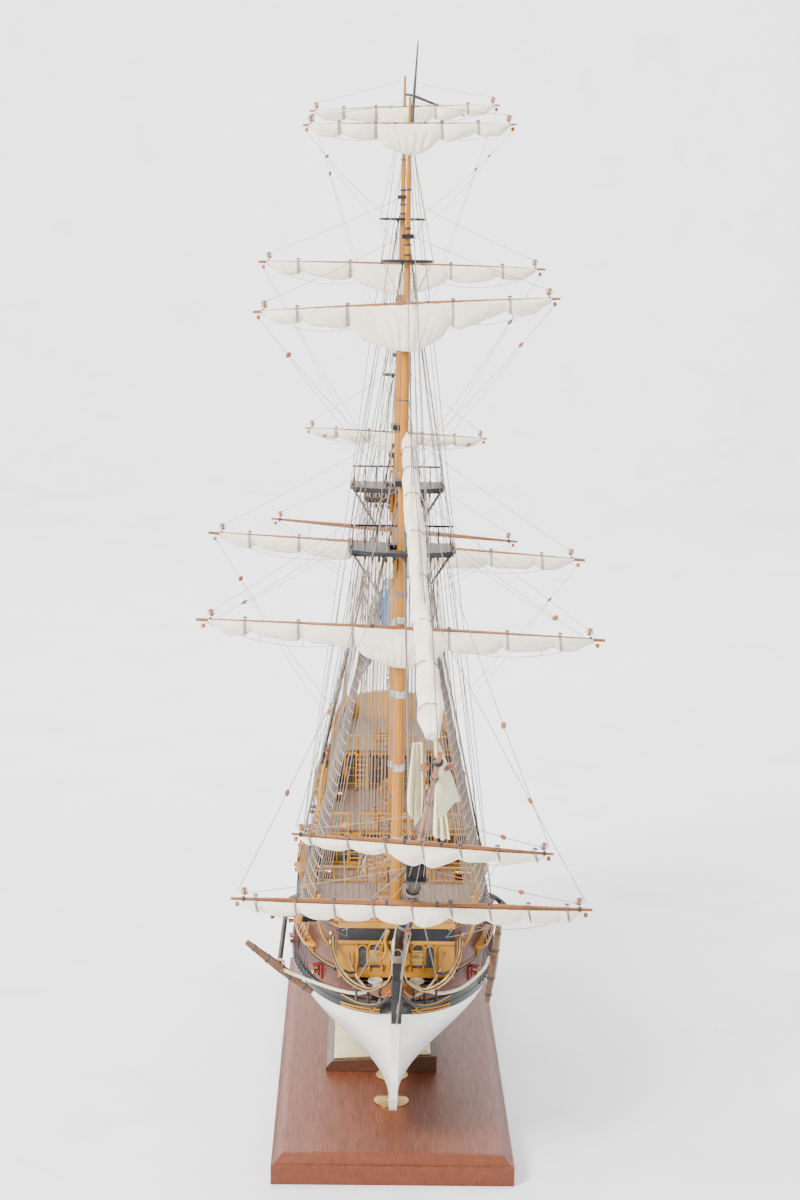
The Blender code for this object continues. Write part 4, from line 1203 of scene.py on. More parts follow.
def make_yard_fittings(name):
    """Head ties, iron hoops, cleats, yardarm stop, footropes and blocks of one yard."""
    center, ahead, half, radius = yard_frame(name)[:4]
    body = yard_body(name)
    ties = []
    count = int(half * 1.86 / 0.0062)
    for i in range(count + 1):
        u = lerp(-0.93, 0.93, i / count)
        if abs(u) * half < 0.006:
            continue
        middle = center + ahead * (half * u)
        reach = radius * (1 - 0.35 * abs(u)) + 0.00022
        ties.append([middle + Vector((0, reach * math.cos(a), reach * math.sin(a)))
                     for a in (2 * math.pi * k / 8 for k in range(9))])
    ropes(f"{name}_head_ties", ties, 0.00013, "tarred", body)
    shape = Shape()
    for u in (-0.93, -0.14, 0.14, 0.93):
        middle = center + ahead * (half * u - 0.0007)
        reach = radius * (1 - 0.35 * abs(u)) + 0.00035
        shape.add(lathe([(reach * 0.9, 0), (reach, 0.0001), (reach, 0.0013), (reach * 0.9, 0.0014)],
                        middle, ahead, 14), 0)
    size = 0.0036 * (0.75 + radius / 0.0060)
    for sign in (-1, 1):
        arm = yard_point(name, sign * 0.925)
        post = arm + Vector((0, 0, radius + size * 0.62))
        shape.add(block(post, size, (0.25 * sign, 0, 1), (0, 1, 0)), 1)
        shape.add(strap(post, size, (0.25 * sign, 0, 1), (1, 0, 0)), 2)
        low = yard_point(name, sign * 0.965) - Vector((0, -0.0010, radius + size * 0.35))
        shape.add(block(low, size * 0.70, (0, 0.4, 1), (1, 0, 0)), 1)
        for u in ((0.10, 0.17) if name in YARDS else (0.30,)):
            quarter = yard_point(name, sign * u) + Vector((0, 0.0008, -radius - size * 0.5))
            shape.add(block(quarter, size * 0.8, (0, 0, 1), (0, 1, 0)), 1)
            shape.add(strap(quarter, size * 0.8, (0, 0, 1), (0, 1, 0)), 2)
    sling = [center + Vector((0.0030 * math.cos(a), radius + 0.0028 + 0.0044 * math.sin(a) * 0.4,
                              0.0010 * math.sin(2 * a)))
             for a in (2 * math.pi * k / 14 for k in range(15))]
    shape.add(tube(sling, 0.00040, 6), 2)
    piece(f"{name}_fittings", shape, ["iron", "fitting", "tarred"], body)
    lines = []
    drop = 0.0115 if half > 0.08 else 0.0075
    for sign in (-1, 1):
        a = yard_point(name, sign * 0.94, -radius, -0.0010)
        b = yard_point(name, sign * 0.05, -radius, -0.0022)
        lines.append(sagging(a, b, drop, 15))
        for t in (0.28, 0.52, 0.76):
            p = a.lerp(b, t)
            lines.append([p + Vector((0, 0.0006, 0)), p - Vector((0, 0, 4 * drop * t * (1 - t)))])
    ropes(f"{name}_footropes", lines, 0.00017, "tarred", body)


def make_square_sails():
    for name in (*YARDS, *HEAD_YARDS):
        make_yard_fittings(name)
        if name != "crossjack":
            make_sail(name)
            make_gaskets(name)


JIB_ROUTE = ((0.001, -0.1735, 0.462), (0.0035, -0.23, 0.433), (0.0075, -0.33, 0.383),
             (0.0115, -0.42, 0.338))


def jib_radius(t):
    ties = abs(math.sin(math.pi * 8.5 * t))
    swell = lerp(0.0026, 0.0058, t ** 0.8) * smoothstep(t / 0.05) * (0.90 + 0.11 * ties ** 0.6)
    return swell * (1 - 0.55 * smoothstep((t - 0.94) / 0.06)) + 0.0004


def make_jib():
    """Headsail gathered along its stay, tied at intervals, with its foot hanging loose."""
    path = smooth_path(JIB_ROUTE, 60)
    last = len(path) - 1
    shape = Shape()
    points, faces = tube(path, [jib_radius(k / last) for k in range(len(path))], 28)
    count = 28
    for index, p in enumerate(points):
        ring, side = divmod(index, count)
        t = ring / last
        middle = path[ring]
        out = p - middle
        angle = 2 * math.pi * side / count
        fold = 0.15 * math.sin(2 * angle + 9 * t) + 0.09 * math.sin(5 * angle - 21 * t)
        fold += 0.20 * noise.noise(Vector((math.cos(angle) * 1.4, math.sin(angle) * 1.4, t * 17)))
        points[index] = middle + out * (1 + fold)
    shape.add((points, faces))
    jib = piece("jib_furled", shape, ["canvas"], crease=70)
    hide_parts("jib_roll")
    loops = []
    for k in range(1, 9):
        t = k / 8.5
        middle = path[int(t * last)]
        ahead = (path[min(int(t * last) + 1, last)] - path[int(t * last) - 1]).normalized()
        side = ahead.cross(Vector((1, 0, 0))).normalized()
        for lean in (-0.4, 0.4):
            reach = jib_radius(t) * 1.10 + 0.0002
            loops.append([middle + Vector((1, 0, 0)) * (reach * math.cos(a)) + side * (reach * math.sin(a))
                          + ahead * (lean * 0.0018 * math.cos(a)) for a in
                          (2 * math.pi * i / 14 for i in range(15))])
    ropes("jib_gaskets", loops, 0.00017, "tarred")


def cloth_sheet(name, rows, look, body="hull", thick=0.00018,
                lay=False):
    """Thin cloth through rows of points, given a real thickness."""
    shape = Shape()
    lays = None
    if lay:
        lays = [(j / (len(row) - 1), i / (len(rows) - 1), 0) for i, row in enumerate(rows)
                for j in range(len(row))]
    shape.add(grid(rows), 0, lays)
    obj = piece(name, shape, [look], body, crease=80)
    solid = obj.modifiers.new("cloth thickness", "SOLIDIFY")
    solid.thickness = thick
    solid.offset = 0
    return obj


def make_jib_foot():
    """Loose foot and clew of the jib: a pleated bunch each side and a backward-lit corner, in a darker,
    yellower copy of the sail cotton that paints backlight and shade.
    """
    rows = []
    for i in range(30):
        v = i / 29
        wide = lerp(0.0026, 0.0060, v ** 0.8) * (1 - 0.25 * max(v - 0.7, 0) / 0.3)
        row = []
        for j in range(44):
            u = j / 43
            pleat = math.sin(u * 2 * math.pi * 3.5 + 0.6 * v) * lerp(0.0012, 0.0023, v)
            hem = (0.0030 * math.sin(u * 7 + 1) + 0.0090 * (u - 0.35) ** 2 * 4) * v ** 3
            row.append((0.0045 + (2 * u - 1) * wide + 0.0008 * math.cos(u * 17 + v),
                        -0.4120 + pleat + 0.0012 * v, 0.3325 - 0.0405 * v + hem))
        rows.append(row)
    cloth_sheet("jib_foot_starboard", rows, "backlit_canvas")
    rows = []
    for i in range(26):
        v = i / 25
        row = []
        for j in range(26):
            u = j / 25
            a = Vector((0.0118, -0.4235, 0.3395)).lerp(Vector((0.0150, -0.4300, 0.2990)), v)
            b = Vector((0.0150, -0.4215, 0.3345)).lerp(Vector((0.0262, -0.4170, 0.3050)), v)
            p = a.lerp(b, u)
            belly = 0.0030 * math.sin(math.pi * u) * math.sin(math.pi * clamp(v * 1.1))
            row.append(p + Vector((0, -belly, 0.0010 * math.sin(7 * u + 3 * v) * v)))
        rows.append(row)
    cloth_sheet("jib_clew", rows, "backlit_canvas")
    rows = []
    for i in range(26):
        v = i / 25
        wide = lerp(0.0014, 0.0042, v ** 0.8)
        row = []
        for j in range(34):
            u = j / 33
            pleat = math.sin(u * 2 * math.pi * 2.5 + 2) * lerp(0.0009, 0.0021, v)
            row.append((lerp(0.0148, 0.0168, v) + (2 * u - 1) * wide, -0.4255 + pleat + 0.002 * v,
                        0.3150 - 0.0265 * v - (0.0070 * u - 0.0055 * u * u) * v))
        rows.append(row)
    cloth_sheet("jib_foot_port", rows, "backlit_canvas")


def make_ensign():
    """Flag hanging from the gaff's peak in soft folds, its fly fallen against the hoist."""
    low, high = (Vector(p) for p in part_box("ensign"))
    middle_y = (low.y + high.y) / 2
    hoist, fly = 0.052, 0.062
    rows = []
    for i in range(60):
        v = i / 59
        row = []
        for j in range(48):
            u = j / 47
            drop = 0.033 * smoothstep(u) * (0.75 + 0.25 * v)
            spread = (high.x - low.x) * (0.10 + 0.90 * u ** 0.8) * (0.62 + 0.38 * v)
            fold = 0.0034 * math.sin(u * 2 * math.pi * 3.2 + 1.3 * v) * smoothstep(u * 4)
            fold += 0.0008 * noise.noise(Vector((u * 6, v * 5, 3)))
            row.append((high.x - spread + 0.0010 * math.sin(u * 20 + v * 2), middle_y + fold,
                        high.z - hoist * v * (1 - 0.06 * u) - drop))
        rows.append(row)
    flag = cloth_sheet("ensign_cloth", rows, "flag", body="gaff",
                       lay=True)
    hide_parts("ensign")
    peak = Vector((0, 0.298, 0.3235))
    hoist_line = [peak, Vector((high.x, middle_y, high.z + 0.002)),
                  Vector((high.x, middle_y, high.z - hoist - 0.003)), Vector((0.001, 0.2685, 0.212))]
    ropes("ensign_halyard", [hoist_line], 0.00016, "running", "gaff")


# ---------------------------------------------------------------- masts and tops

def upper_y(mast):
    return MASTS[mast]["y"] - DOUBLING


def upper_radius(mast, z):
    m = MASTS[mast]
    share = clamp((z - m["top"]) / (m["truck"] - m["top"]))
    return m["r"] * UPPER_SHARE * (1 - 0.45 * share)


def make_mast_bands():
    """Metal hoops and wooldings on the lower masts, wooden cheeks under the tops."""
    for mast, m in MASTS.items():
        shape = Shape()
        bottom = 0.205 if mast != "mizzen" else 0.235
        hoops = [lerp(bottom, m["top"] - 0.045, k / 3) for k in range(4)]
        for z in hoops:
            reach = m["r"] + 0.00035
            shape.add(lathe([(m["r"] * 0.98, 0), (reach, 0.0003), (reach, 0.0045), (m["r"] * 0.98, 0.0048)],
                            (0, m["y"], z), sides=24), 0)
        for z in (hoops[0] - 0.022, m["top"] - 0.028):
            for turn in range(5):
                ring = [(math.cos(a) * (m["r"] + 0.00015), m["y"] + math.sin(a) * (m["r"] + 0.00015),
                         z + turn * 0.00062 + 0.00062 * a / (2 * math.pi))
                        for a in (2 * math.pi * i / 18 for i in range(19))]
                shape.add(tube(ring, 0.00032, 5), 1)
        for sign in (-1, 1):
            cheek = [(0, m["y"] - 0.0046, m["top"] - 0.0004), (0, m["y"] + 0.0046, m["top"] - 0.0004),
                     (0, m["y"] + 0.0030, m["top"] - 0.010), (0, m["y"], m["top"] - 0.017),
                     (0, m["y"] - 0.0030, m["top"] - 0.010)]
            shape.add(plate([(sign * (m["r"] + 0.0007), y, z) for _, y, z in cheek], (1, 0, 0), 0.0014), 2)
        piece(f"{mast}_mast_bands", shape, ["steel", "tarred", "mast"], bevel=0.0001)


def make_tops():
    """Battens, edge rim, trestle trees and an after rail on each top."""
    for mast, m in MASTS.items():
        low, high = (Vector(p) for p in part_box(f"{mast}_top"))
        z = high.z
        half = m["half"]
        shape = Shape()
        for k in range(13):
            x = lerp(-0.86, 0.86, k / 12) * half
            if abs(x) < m["r"] + 0.0012:
                continue
            inset = 0.0015 + 0.010 * abs(x / half) ** 3
            shape.add(box((x, (low.y + inset + high.y - 0.0012) / 2, z + 0.0003),
                          (0.0011, high.y - low.y - inset - 0.0012, 0.0006)), 0)
        for sign in (-1, 1):
            shape.add(beam((sign * (m["r"] + 0.0014), low.y + 0.002, low.z - 0.0012),
                           (sign * (m["r"] + 0.0014), high.y - 0.001, low.z - 0.0012), 0.0018, 0.0022), 1)
        for k in range(11):
            x = lerp(-0.93, 0.93, k / 10) * half
            shape.add(beam((x, low.y + 0.0035 + 0.008 * abs(x / half) ** 3, low.z - 0.0004),
                           (x, high.y - 0.001, low.z - 0.0004), 0.0010, 0.0012), 1)
        for y in (m["y"] - m["r"] - 0.0016 - DOUBLING, m["y"] + m["r"] + 0.0016):
            if low.y + 0.002 < y < high.y - 0.001:
                shape.add(beam((-half * 0.9, y, low.z - 0.0008), (half * 0.9, y, low.z - 0.0008),
                               0.0020, 0.0018), 1)
        rail = 0.0105 if mast != "mizzen" else 0.008
        for k in range(9):
            x = lerp(-0.92, 0.92, k / 8) * half
            shape.add(lathe([(0.0005, 0), (0.00035, rail * 0.3), (0.0005, rail * 0.55), (0.00035, rail)],
                            (x, high.y - 0.0010, z), sides=8), 2)
        shape.add(beam((-half * 0.96, high.y - 0.0010, z + rail), (half * 0.96, high.y - 0.0010, z + rail),
                       0.0014, 0.0012), 2)
        piece(f"{mast}_top_framing", shape, ["deck", "black", "black"], bevel=0.00012)


def make_caps():
    """Cap joining the doubled masts, crosstrees, fid and iron bands round the upper mast."""
    for mast, m in MASTS.items():
        shape = Shape()
        y = upper_y(mast)
        head = m["head"]
        outline = [(-0.0052, y - 0.0050), (0.0052, y - 0.0050), (0.0056, m["y"] + 0.0048),
                   (-0.0056, m["y"] + 0.0048)]
        shape.add(plate([(x, yy, head - 0.0008) for x, yy in outline], (0, 0, 1), 0.0034), 0)
        shape.add(box((0, m["y"], head + 0.0028), (m["r"] * 1.7, m["r"] * 1.7, 0.0036)), 1)
        z = m["trees"]
        span = 0.0155 if mast != "mizzen" else 0.0105
        for dy in (-0.0046, 0.0046):
            bow = [(x, y + dy + 0.0016 * (x / span) ** 2, z) for x in
                   (lerp(-span, span, i / 8) for i in range(9))]
            shape.add(tube(bow, [0.0007] + [0.0009] * 7 + [0.0007], 6), 0)
        for sign in (-1, 1):
            shape.add(beam((sign * 0.0034, y - 0.0066, z - 0.0010), (sign * 0.0034, y + 0.0066, z - 0.0010),
                           0.0012, 0.0018), 0)
        shape.add(box((0, y - 0.0004, z + 0.0145), (0.0072, 0.0104, 0.0026)), 0)
        for dz in (0.0030, 0.0090, 0.0185):
            reach = upper_radius(mast, z + dz) + 0.0003
            shape.add(lathe([(reach * 0.9, 0), (reach, 0.0002), (reach, 0.0011), (reach * 0.9, 0.0013)],
                            (0, y, z + dz), sides=18), 2)
        for share in (0.22, 0.34, 0.80, 0.90):
            zz = lerp(m["top"], m["truck"], share)
            reach = upper_radius(mast, zz) + 0.0003
            shape.add(lathe([(reach * 0.9, 0), (reach, 0.0002), (reach, 0.0009), (reach * 0.9, 0.0011)],
                            (0, y, zz), sides=18), 2)
        piece(f"{mast}_cap_and_trees", shape, ["black", "mast", "iron"], bevel=0.00015)


def make_poles():
    """Slender black signal poles set beside the fore and main trucks."""
    shape = Shape()
    y = upper_y("fore")
    foot = Vector((0.0012, y, 0.640))
    tip = Vector((0.0040, y - 0.0005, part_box("main_upper_mast")[1][2] + 0.0105))
    shape.add(tube([foot.lerp(tip, i / 8) for i in range(9)],
                   [lerp(0.00115, 0.0004, i / 8) for i in range(9)], 10))
    y = upper_y("main") - 0.004
    foot, tip = Vector((0.006, y, 0.6640)), Vector((0.0400, y, 0.6515))
    shape.add(tube([foot.lerp(tip, i / 8) for i in range(9)],
                   [lerp(0.00110, 0.0005, i / 8) for i in range(9)], 10))
    shape.add(tube([(0, upper_y("main"), 0.6650), (0.003, y + 0.002, 0.6648), foot], 0.0009, 8))
    piece("signal_poles", shape, ["iron"])


# ---------------------------------------------------------------- shrouds and stays

CHANNELS = {
    "fore": dict(start=-0.1560, end=-0.0935, z=0.1405, first=-0.1480, step=0.0072, count=8),
    "main": dict(start=0.0200, end=0.1060, z=0.1345, first=0.0440, step=0.0075, count=8),
    "mizzen": dict(start=0.1600, end=0.2080, z=0.1560, first=0.1670, step=0.0070, count=6),
}
CHANNEL_WIDTH = 0.0062
LANYARD = 0.0085
DEADEYE = 0.00165


def channel_edge(mast, y, sign, inset=0.0012):
    c = CHANNELS[mast]
    p = side_at(y, c["z"], CHANNEL_WIDTH - inset)
    return Vector((sign * p.x, p.y, c["z"]))


def shroud_top(mast, sign, index):
    m = MASTS[mast]
    return Vector((sign * (m["r"] + 0.0002), m["y"] + 0.0015 + 0.0004 * index,
                   m["head"] - 0.013 - 0.0004 * index))


def shroud_point(mast, sign, index, z):
    low = channel_edge(mast, CHANNELS[mast]["first"] + CHANNELS[mast]["step"] * index, sign)
    high = shroud_top(mast, sign, index)
    return low.lerp(high, (z - low.z) / (high.z - low.z))


def make_channels():
    """Ochre channel boards with brackets, deadeyes, lanyards and chainplates."""
    for side, sign in SIDES.items():
        for mast, c in CHANNELS.items():
            boards = Shape()
            rings = []
            for k in range(25):
                y = lerp(c["start"], c["end"], k / 24)
                taper = smoothstep(min(k, 24 - k) / 1.6)
                wide = lerp(0.0018, CHANNEL_WIDTH, taper)
                ring = []
                for dz, d in ((-0.0009, -0.0006), (-0.0009, wide), (0.0009, wide), (0.0009, -0.0006)):
                    p = side_at(y, c["z"], d)
                    ring.append(Vector((sign * p.x, p.y, c["z"] + dz)))
                rings.append(ring)
            boards.add(loft(rings), 0)
            for k in range(5):
                y = lerp(c["start"] + 0.005, c["end"] - 0.005, k / 4)
                inner, outer = side_at(y, c["z"] - 0.001, 0), side_at(y, c["z"] - 0.001,
                        CHANNEL_WIDTH - 0.001)
                foot = side_at(y, c["z"] - 0.007, 0.0002)
                outline = [(sign * inner.x, y, c["z"] - 0.001), (sign * outer.x, y, c["z"] - 0.001),
                           (sign * foot.x, y, c["z"] - 0.0075)]
                boards.add(plate(outline, (0, 1, 0), 0.0010), 0)
            piece(f"{mast}_channel_{side}", boards, ["ochre"], bevel=0.00025)
            eyes, lines, chains = Shape(), [], Shape()
            for index in range(c["count"]):
                base = channel_edge(mast, c["first"] + c["step"] * index, sign)
                lower = base + Vector((0, 0, 0.0009 + DEADEYE))
                upper = shroud_point(mast, sign, index, base.z + LANYARD + DEADEYE)
                facing = side_normal(station_at(base.y, base.z), base.z)
                facing = Vector((sign * facing.x, facing.y, 0.12))
                deadeye(eyes, lower, DEADEYE, facing)
                deadeye(eyes, upper, DEADEYE, facing)
                for dy in (-0.0008, 0.0, 0.0008):
                    lines.append([lower + Vector((0, dy, 0.0006)), upper + Vector((0, dy * 0.9, -0.0006))])
                wale = side_at(base.y + 0.0006, wale_z(station_at(base.y, 0.11)) + 0.0045,
                               WALE_PROUD + 0.0004)
                wale = Vector((sign * wale.x, wale.y, wale_z(station_at(base.y, 0.11)) + 0.0045))
                chains.add(beam(base - Vector((0, 0, 0.0004)), wale, 0.0009, 0.0005, (sign, 0, 0)), 0)
                chains.add(lathe([(0.0007, -0.0003), (0.0008, 0), (0.0004, 0.0006)], wale,
                                 (sign, 0, 0.1), 8), 0)
                chains.add(tube([lower + Vector((0, DEADEYE * 1.04 * math.cos(a),
                                                 DEADEYE * 1.04 * math.sin(a)))
                                 for a in (2 * math.pi * i / 10 for i in range(11))], 0.00022, 5), 0)
            piece(f"{mast}_deadeyes_{side}", eyes, ["fitting", "iron"])
            ropes(f"{mast}_lanyards_{side}", lines, 0.00016, "hemp")
            piece(f"{mast}_chainplates_{side}", chains, ["iron"])


def seizing(shape, point, along, radius):
    """Short lashing round a rope."""
    along = Vector(along).normalized()
    shape.add(lathe([(radius, -0.0007), (radius * 1.25, -0.0004), (radius * 1.25, 0.0004),
                     (radius, 0.0007)],
                    point, along, 6))


def make_lower_shrouds():
    for side, sign in SIDES.items():
        for mast, c in CHANNELS.items():
            lines, steps = [], []
            knots = Shape()
            low_z = c["z"] + LANYARD + 2 * DEADEYE
            for index in range(c["count"]):
                upper = shroud_point(mast, sign, index, low_z)
                top = shroud_top(mast, sign, index)
                lines.append([upper, top, (0, MASTS[mast]["y"], top.z + 0.0006)])
                for dz in (0.0015, 0.0045, 0.0080):
                    seizing(knots, shroud_point(mast, sign, index, low_z + dz), top - upper, 0.00052)
            ropes(f"{mast}_shrouds_{side}", lines, 0.00048, "tarred")
            piece(f"{mast}_seizings_{side}", knots, ["hemp"])
            stave = [shroud_point(mast, sign, i, low_z + 0.0105) for i in range(c["count"])]
            spread = Shape().add(tube([stave[0] + (stave[0] - stave[1]) * 0.3, *stave,
                                       stave[-1] + (stave[-1] - stave[-2]) * 0.3], 0.00055, 8))
            piece(f"{mast}_sheer_pole_{side}", spread, ["iron"])
            z = low_z + 0.016
            hitches = Shape()
            while z < MASTS[mast]["top"] - 0.020:
                row = [shroud_point(mast, sign, i, z) for i in range(c["count"])]
                steps.append([row[0] + (row[0] - row[1]) * 0.06, *row,
                              row[-1] + (row[-1] - row[-2]) * 0.06])
                for p in row:
                    hitches.add(tube([p - Vector((0, 0, 0.00045)), p, p + Vector((0, 0, 0.00045))],
                                     [0.00032, 0.00056, 0.00032], 5))
                z += 0.0066
            ropes(f"{mast}_ratlines_{side}", steps, 0.00027, "hemp")
            piece(f"{mast}_hitches_{side}", hitches, ["pale_rope"])


def make_upper_shrouds():
    """Futtock shrouds, topmast shrouds with their deadeyes and ratlines, and topgallant shrouds."""
    for side, sign in SIDES.items():
        for mast, m in MASTS.items():
            count = 5 if mast != "mizzen" else 3
            z_top = m["top"] + TOP_THICKNESS
            high = Vector(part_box(f"{mast}_top")[1])
            thick, thin, steps = [], [], []
            eyes = Shape()
            hitches = Shape()
            feet, heads = [], []
            for index in range(count):
                y = lerp(m["y"] - 0.003, high.y - 0.004, index / (count - 1))
                foot = Vector((sign * (m["half"] - 0.0016), y, z_top + 0.0013))
                head = Vector((sign * (upper_radius(mast, m["trees"]) + 0.0003),
                               upper_y(mast) + 0.0003 * index,
                               m["trees"] + 0.0030 - 0.0004 * index))
                upper = foot.lerp(head, 0.0066 / (head.z - foot.z))
                deadeye(eyes, foot, 0.00120, (sign, 0, 0.1))
                deadeye(eyes, upper, 0.00120, (sign, 0, 0.1))
                for dy in (-0.0006, 0, 0.0006):
                    thin.append([foot + Vector((0, dy, 0.0004)), upper + Vector((0, dy, -0.0004))])
                thick.append([upper, head])
                feet.append(upper)
                heads.append(head)
                shroud_z = m["top"] - 0.026
                inner = shroud_point(mast, sign, min(index, CHANNELS[mast]["count"] - 1), shroud_z)
                thick.append([foot - Vector((0, 0, TOP_THICKNESS + 0.002)), inner])
            stave = [shroud_point(mast, sign, i, m["top"] - 0.026) for i in range(CHANNELS[mast]["count"])]
            thick.append(stave)
            z = z_top + 0.013
            while z < m["trees"] - 0.010:
                row = [a.lerp(b, (z - a.z) / (b.z - a.z)) for a, b in zip(feet, heads)]
                steps.append(row)
                for p in row:
                    hitches.add(tube([p - Vector((0, 0, 0.0004)), p, p + Vector((0, 0, 0.0004))],
                                     [0.00024, 0.00044, 0.00024], 5))
                z += 0.0064
            span = 0.0150 if mast != "mizzen" else 0.0102
            for dy in (-0.0042, 0.0050):
                foot = Vector((sign * span, upper_y(mast) + dy, m["trees"] + 0.0008))
                head = Vector((sign * 0.0012, upper_y(mast), m["truck"] - 0.022))
                thin.append([foot, head])
                thin.append([foot, Vector((sign * 0.004, upper_y(mast) + 0.001, m["trees"] - 0.022))])
            ropes(f"{mast}_upper_shrouds_{side}", thick, 0.00026, "tarred")
            ropes(f"{mast}_upper_lanyards_{side}", thin, 0.00015, "running")
            ropes(f"{mast}_upper_ratlines_{side}", steps, 0.00015, "hemp")
            piece(f"{mast}_upper_hitches_{side}", hitches, ["pale_rope"])
            piece(f"{mast}_top_deadeyes_{side}", eyes, ["fitting", "iron"])


def make_backstays():
    for side, sign in SIDES.items():
        lines, eyes = [], Shape()
        lanyards = []
        for mast, m in MASTS.items():
            c = CHANNELS[mast]
            last = c["first"] + c["step"] * (c["count"] - 1)
            for extra, top_z in ((0.0045, m["trees"] + 0.002), (0.0082, m["trees"] + 0.001),
                                 (0.0118, m["truck"] - 0.024)):
                y = min(last + extra, c["end"] - 0.0008)
                base = channel_edge(mast, y, sign)
                head = Vector((sign * 0.002, upper_y(mast) + 0.001, top_z))
                lower = base + Vector((0, 0, 0.0022))
                upper = lower.lerp(head, 0.0070 / (head.z - lower.z))
                deadeye(eyes, lower, 0.0011, (sign, 0, 0.1))
                deadeye(eyes, upper, 0.0011, (sign, 0, 0.1))
                lanyards.append([lower, upper])
                lines.append([upper, head])
        ropes(f"backstays_{side}", lines, 0.00024, "tarred")
        ropes(f"backstay_lanyards_{side}", lanyards, 0.00030, "hemp")
        piece(f"backstay_deadeyes_{side}", eyes, ["fitting", "iron"])


def make_stays():
    """Fore-and-aft stays from masthead to masthead and down to the bow."""
    fore, main, mizzen = MASTS["fore"], MASTS["main"], MASTS["mizzen"]
    thick = [
        sagging((0, fore["y"], fore["head"] - 0.012), sprit_point(0.118, 0.006), 0.001),
        sagging((0.0012, fore["y"], fore["head"] - 0.016), sprit_point(0.100, 0.006), 0.001),
        sagging((0, main["y"], main["head"] - 0.012), (0.0035, fore["y"] + 0.008, FORECASTLE_Z + 0.012),
                0.002),
        sagging((0, main["y"], main["head"] - 0.016),
                (-0.0035, fore["y"] + 0.008, FORECASTLE_Z + 0.012), 0.002),
        sagging((0, mizzen["y"], mizzen["head"] - 0.012), (0, main["y"] + 0.005, 0.215), 0.001),
    ]
    thin = [
        sagging((0, upper_y("fore"), fore["trees"] + 0.003), boom_point(0.092), 0.001),
        [Vector(p) + Vector((0.0016, 0, 0.0052)) for p in
         smooth_path([JIB_ROUTE[0], JIB_ROUTE[1], JIB_ROUTE[2], boom_point(0.190)], 8)],
        sagging((0, upper_y("fore"), fore["truck"] - 0.022), boom_point(0.232), 0.001),
        sagging((0, upper_y("main"), main["trees"] + 0.003),
                (0, fore["y"] + 0.002, fore["head"] - 0.006), 0.001),
        sagging((0, upper_y("main"), main["truck"] - 0.022),
                (0, upper_y("fore"), fore["trees"] + 0.017), 0.001),
        sagging((0, upper_y("mizzen"), mizzen["trees"] + 0.003), (0, main["y"], main["head"] - 0.020),
                0.001),
        sagging((0, upper_y("mizzen"), mizzen["truck"] - 0.020),
                (0, upper_y("main"), main["head"] + 0.030), 0.001),
    ]
    ropes("lower_stays", thick, 0.00055, "tarred")
    ropes("upper_stays", thin, 0.00026, "tarred")
    shape = Shape()
    for line in thick[:4]:
        heart = Vector(line[-2])
        ahead = (Vector(line[-1]) - Vector(line[-3])).normalized()
        deadeye(shape, heart, 0.0021, (1, 0, 0))
        deadeye(shape, heart + ahead * -0.0075, 0.0021, (1, 0, 0))
    for line in thick + thin[:1]:
        mouse = Vector(line[1]).lerp(Vector(line[0]), 0.35)
        shape.add(lathe([(0.0005, -0.0022), (0.0013, 0), (0.0005, 0.0022)], mouse,
                        Vector(line[1]) - Vector(line[0]), 8), 2)
    piece("stay_hearts", shape, ["fitting", "iron", "tarred"])


# ---------------------------------------------------------------- running rigging

def spar_line(name, body, hull_end, spar_end, radius, sag=0.0, blocks=(), look="running"):
    """A line from the hull or a mast to a spar, baked in place."""
    path = sagging(hull_end, spar_end, sag, 13)
    shape = Shape().add(tube(path, radius, 6))
    ahead = Vector(spar_end) - Vector(hull_end)
    for share, size in blocks:
        spot = path[int(share * 12)].lerp(path[min(int(share * 12) + 1, 12)], share * 12 % 1)
        shape.add(block(spot, size, ahead), 1)
        shape.add(strap(spot, size, ahead), 0)
    piece(name, shape, [look, "fitting"], ("hull", body, tuple(hull_end), tuple(spar_end)))


LIFT_HEADS = {
    "fore_course": ("fore", 0.427), "fore_topsail": ("fore", 0.576), "fore_topgallant": ("fore", 0.653),
    "main_course": ("main", 0.441), "main_topsail": ("main", 0.597), "main_topgallant": ("main", 0.674),
    "crossjack": ("mizzen", 0.408), "mizzen_topsail": ("mizzen", 0.474),
}
BRACE_LEADS = {
    "fore_course": (0.006, 0.0405, 0.392), "fore_topsail": (0.004, 0.040, 0.418),
    "fore_topgallant": (0.003, 0.034, 0.580), "main_course": (0.047, 0.236, 0.2052),
    "main_topsail": (0.004, 0.163, 0.394), "main_topgallant": (0.003, 0.157, 0.478),
    "crossjack": (0.006, 0.046, 0.330), "mizzen_topsail": (0.004, 0.046, 0.4400),
}


def make_lifts_and_braces():
    for name, (mast, z) in LIFT_HEADS.items():
        body = yard_body(name)
        radius = 0.00019 if "topgallant" not in name else 0.00015
        y = upper_y(mast) - 0.002
        for side, sign in SIDES.items():
            head = Vector((sign * 0.0030, y, z))
            arm = yard_point(name, sign * 0.925, 0.0055)
            spar_line(f"{name}_lift_{side}", body, head, arm, radius, 0.001)
            x, lead_y, lead_z = BRACE_LEADS[name]
            lead = Vector((sign * x, lead_y, lead_z))
            arm = yard_point(name, sign * 0.965, -0.0035, -0.0010)
            size = 0.0040 if "topgallant" not in name else 0.0028
            spar_line(f"{name}_brace_{side}", body, lead, arm, radius, 0.004, ((0.80, size),))
            spar_line(f"{name}_brace_fall_{side}", body, lead + Vector((sign * 0.003, 0, -0.010)),
                      Vector(lead).lerp(arm, 0.79) - Vector((0, 0, 0.0046)), radius * 0.85, 0.002)


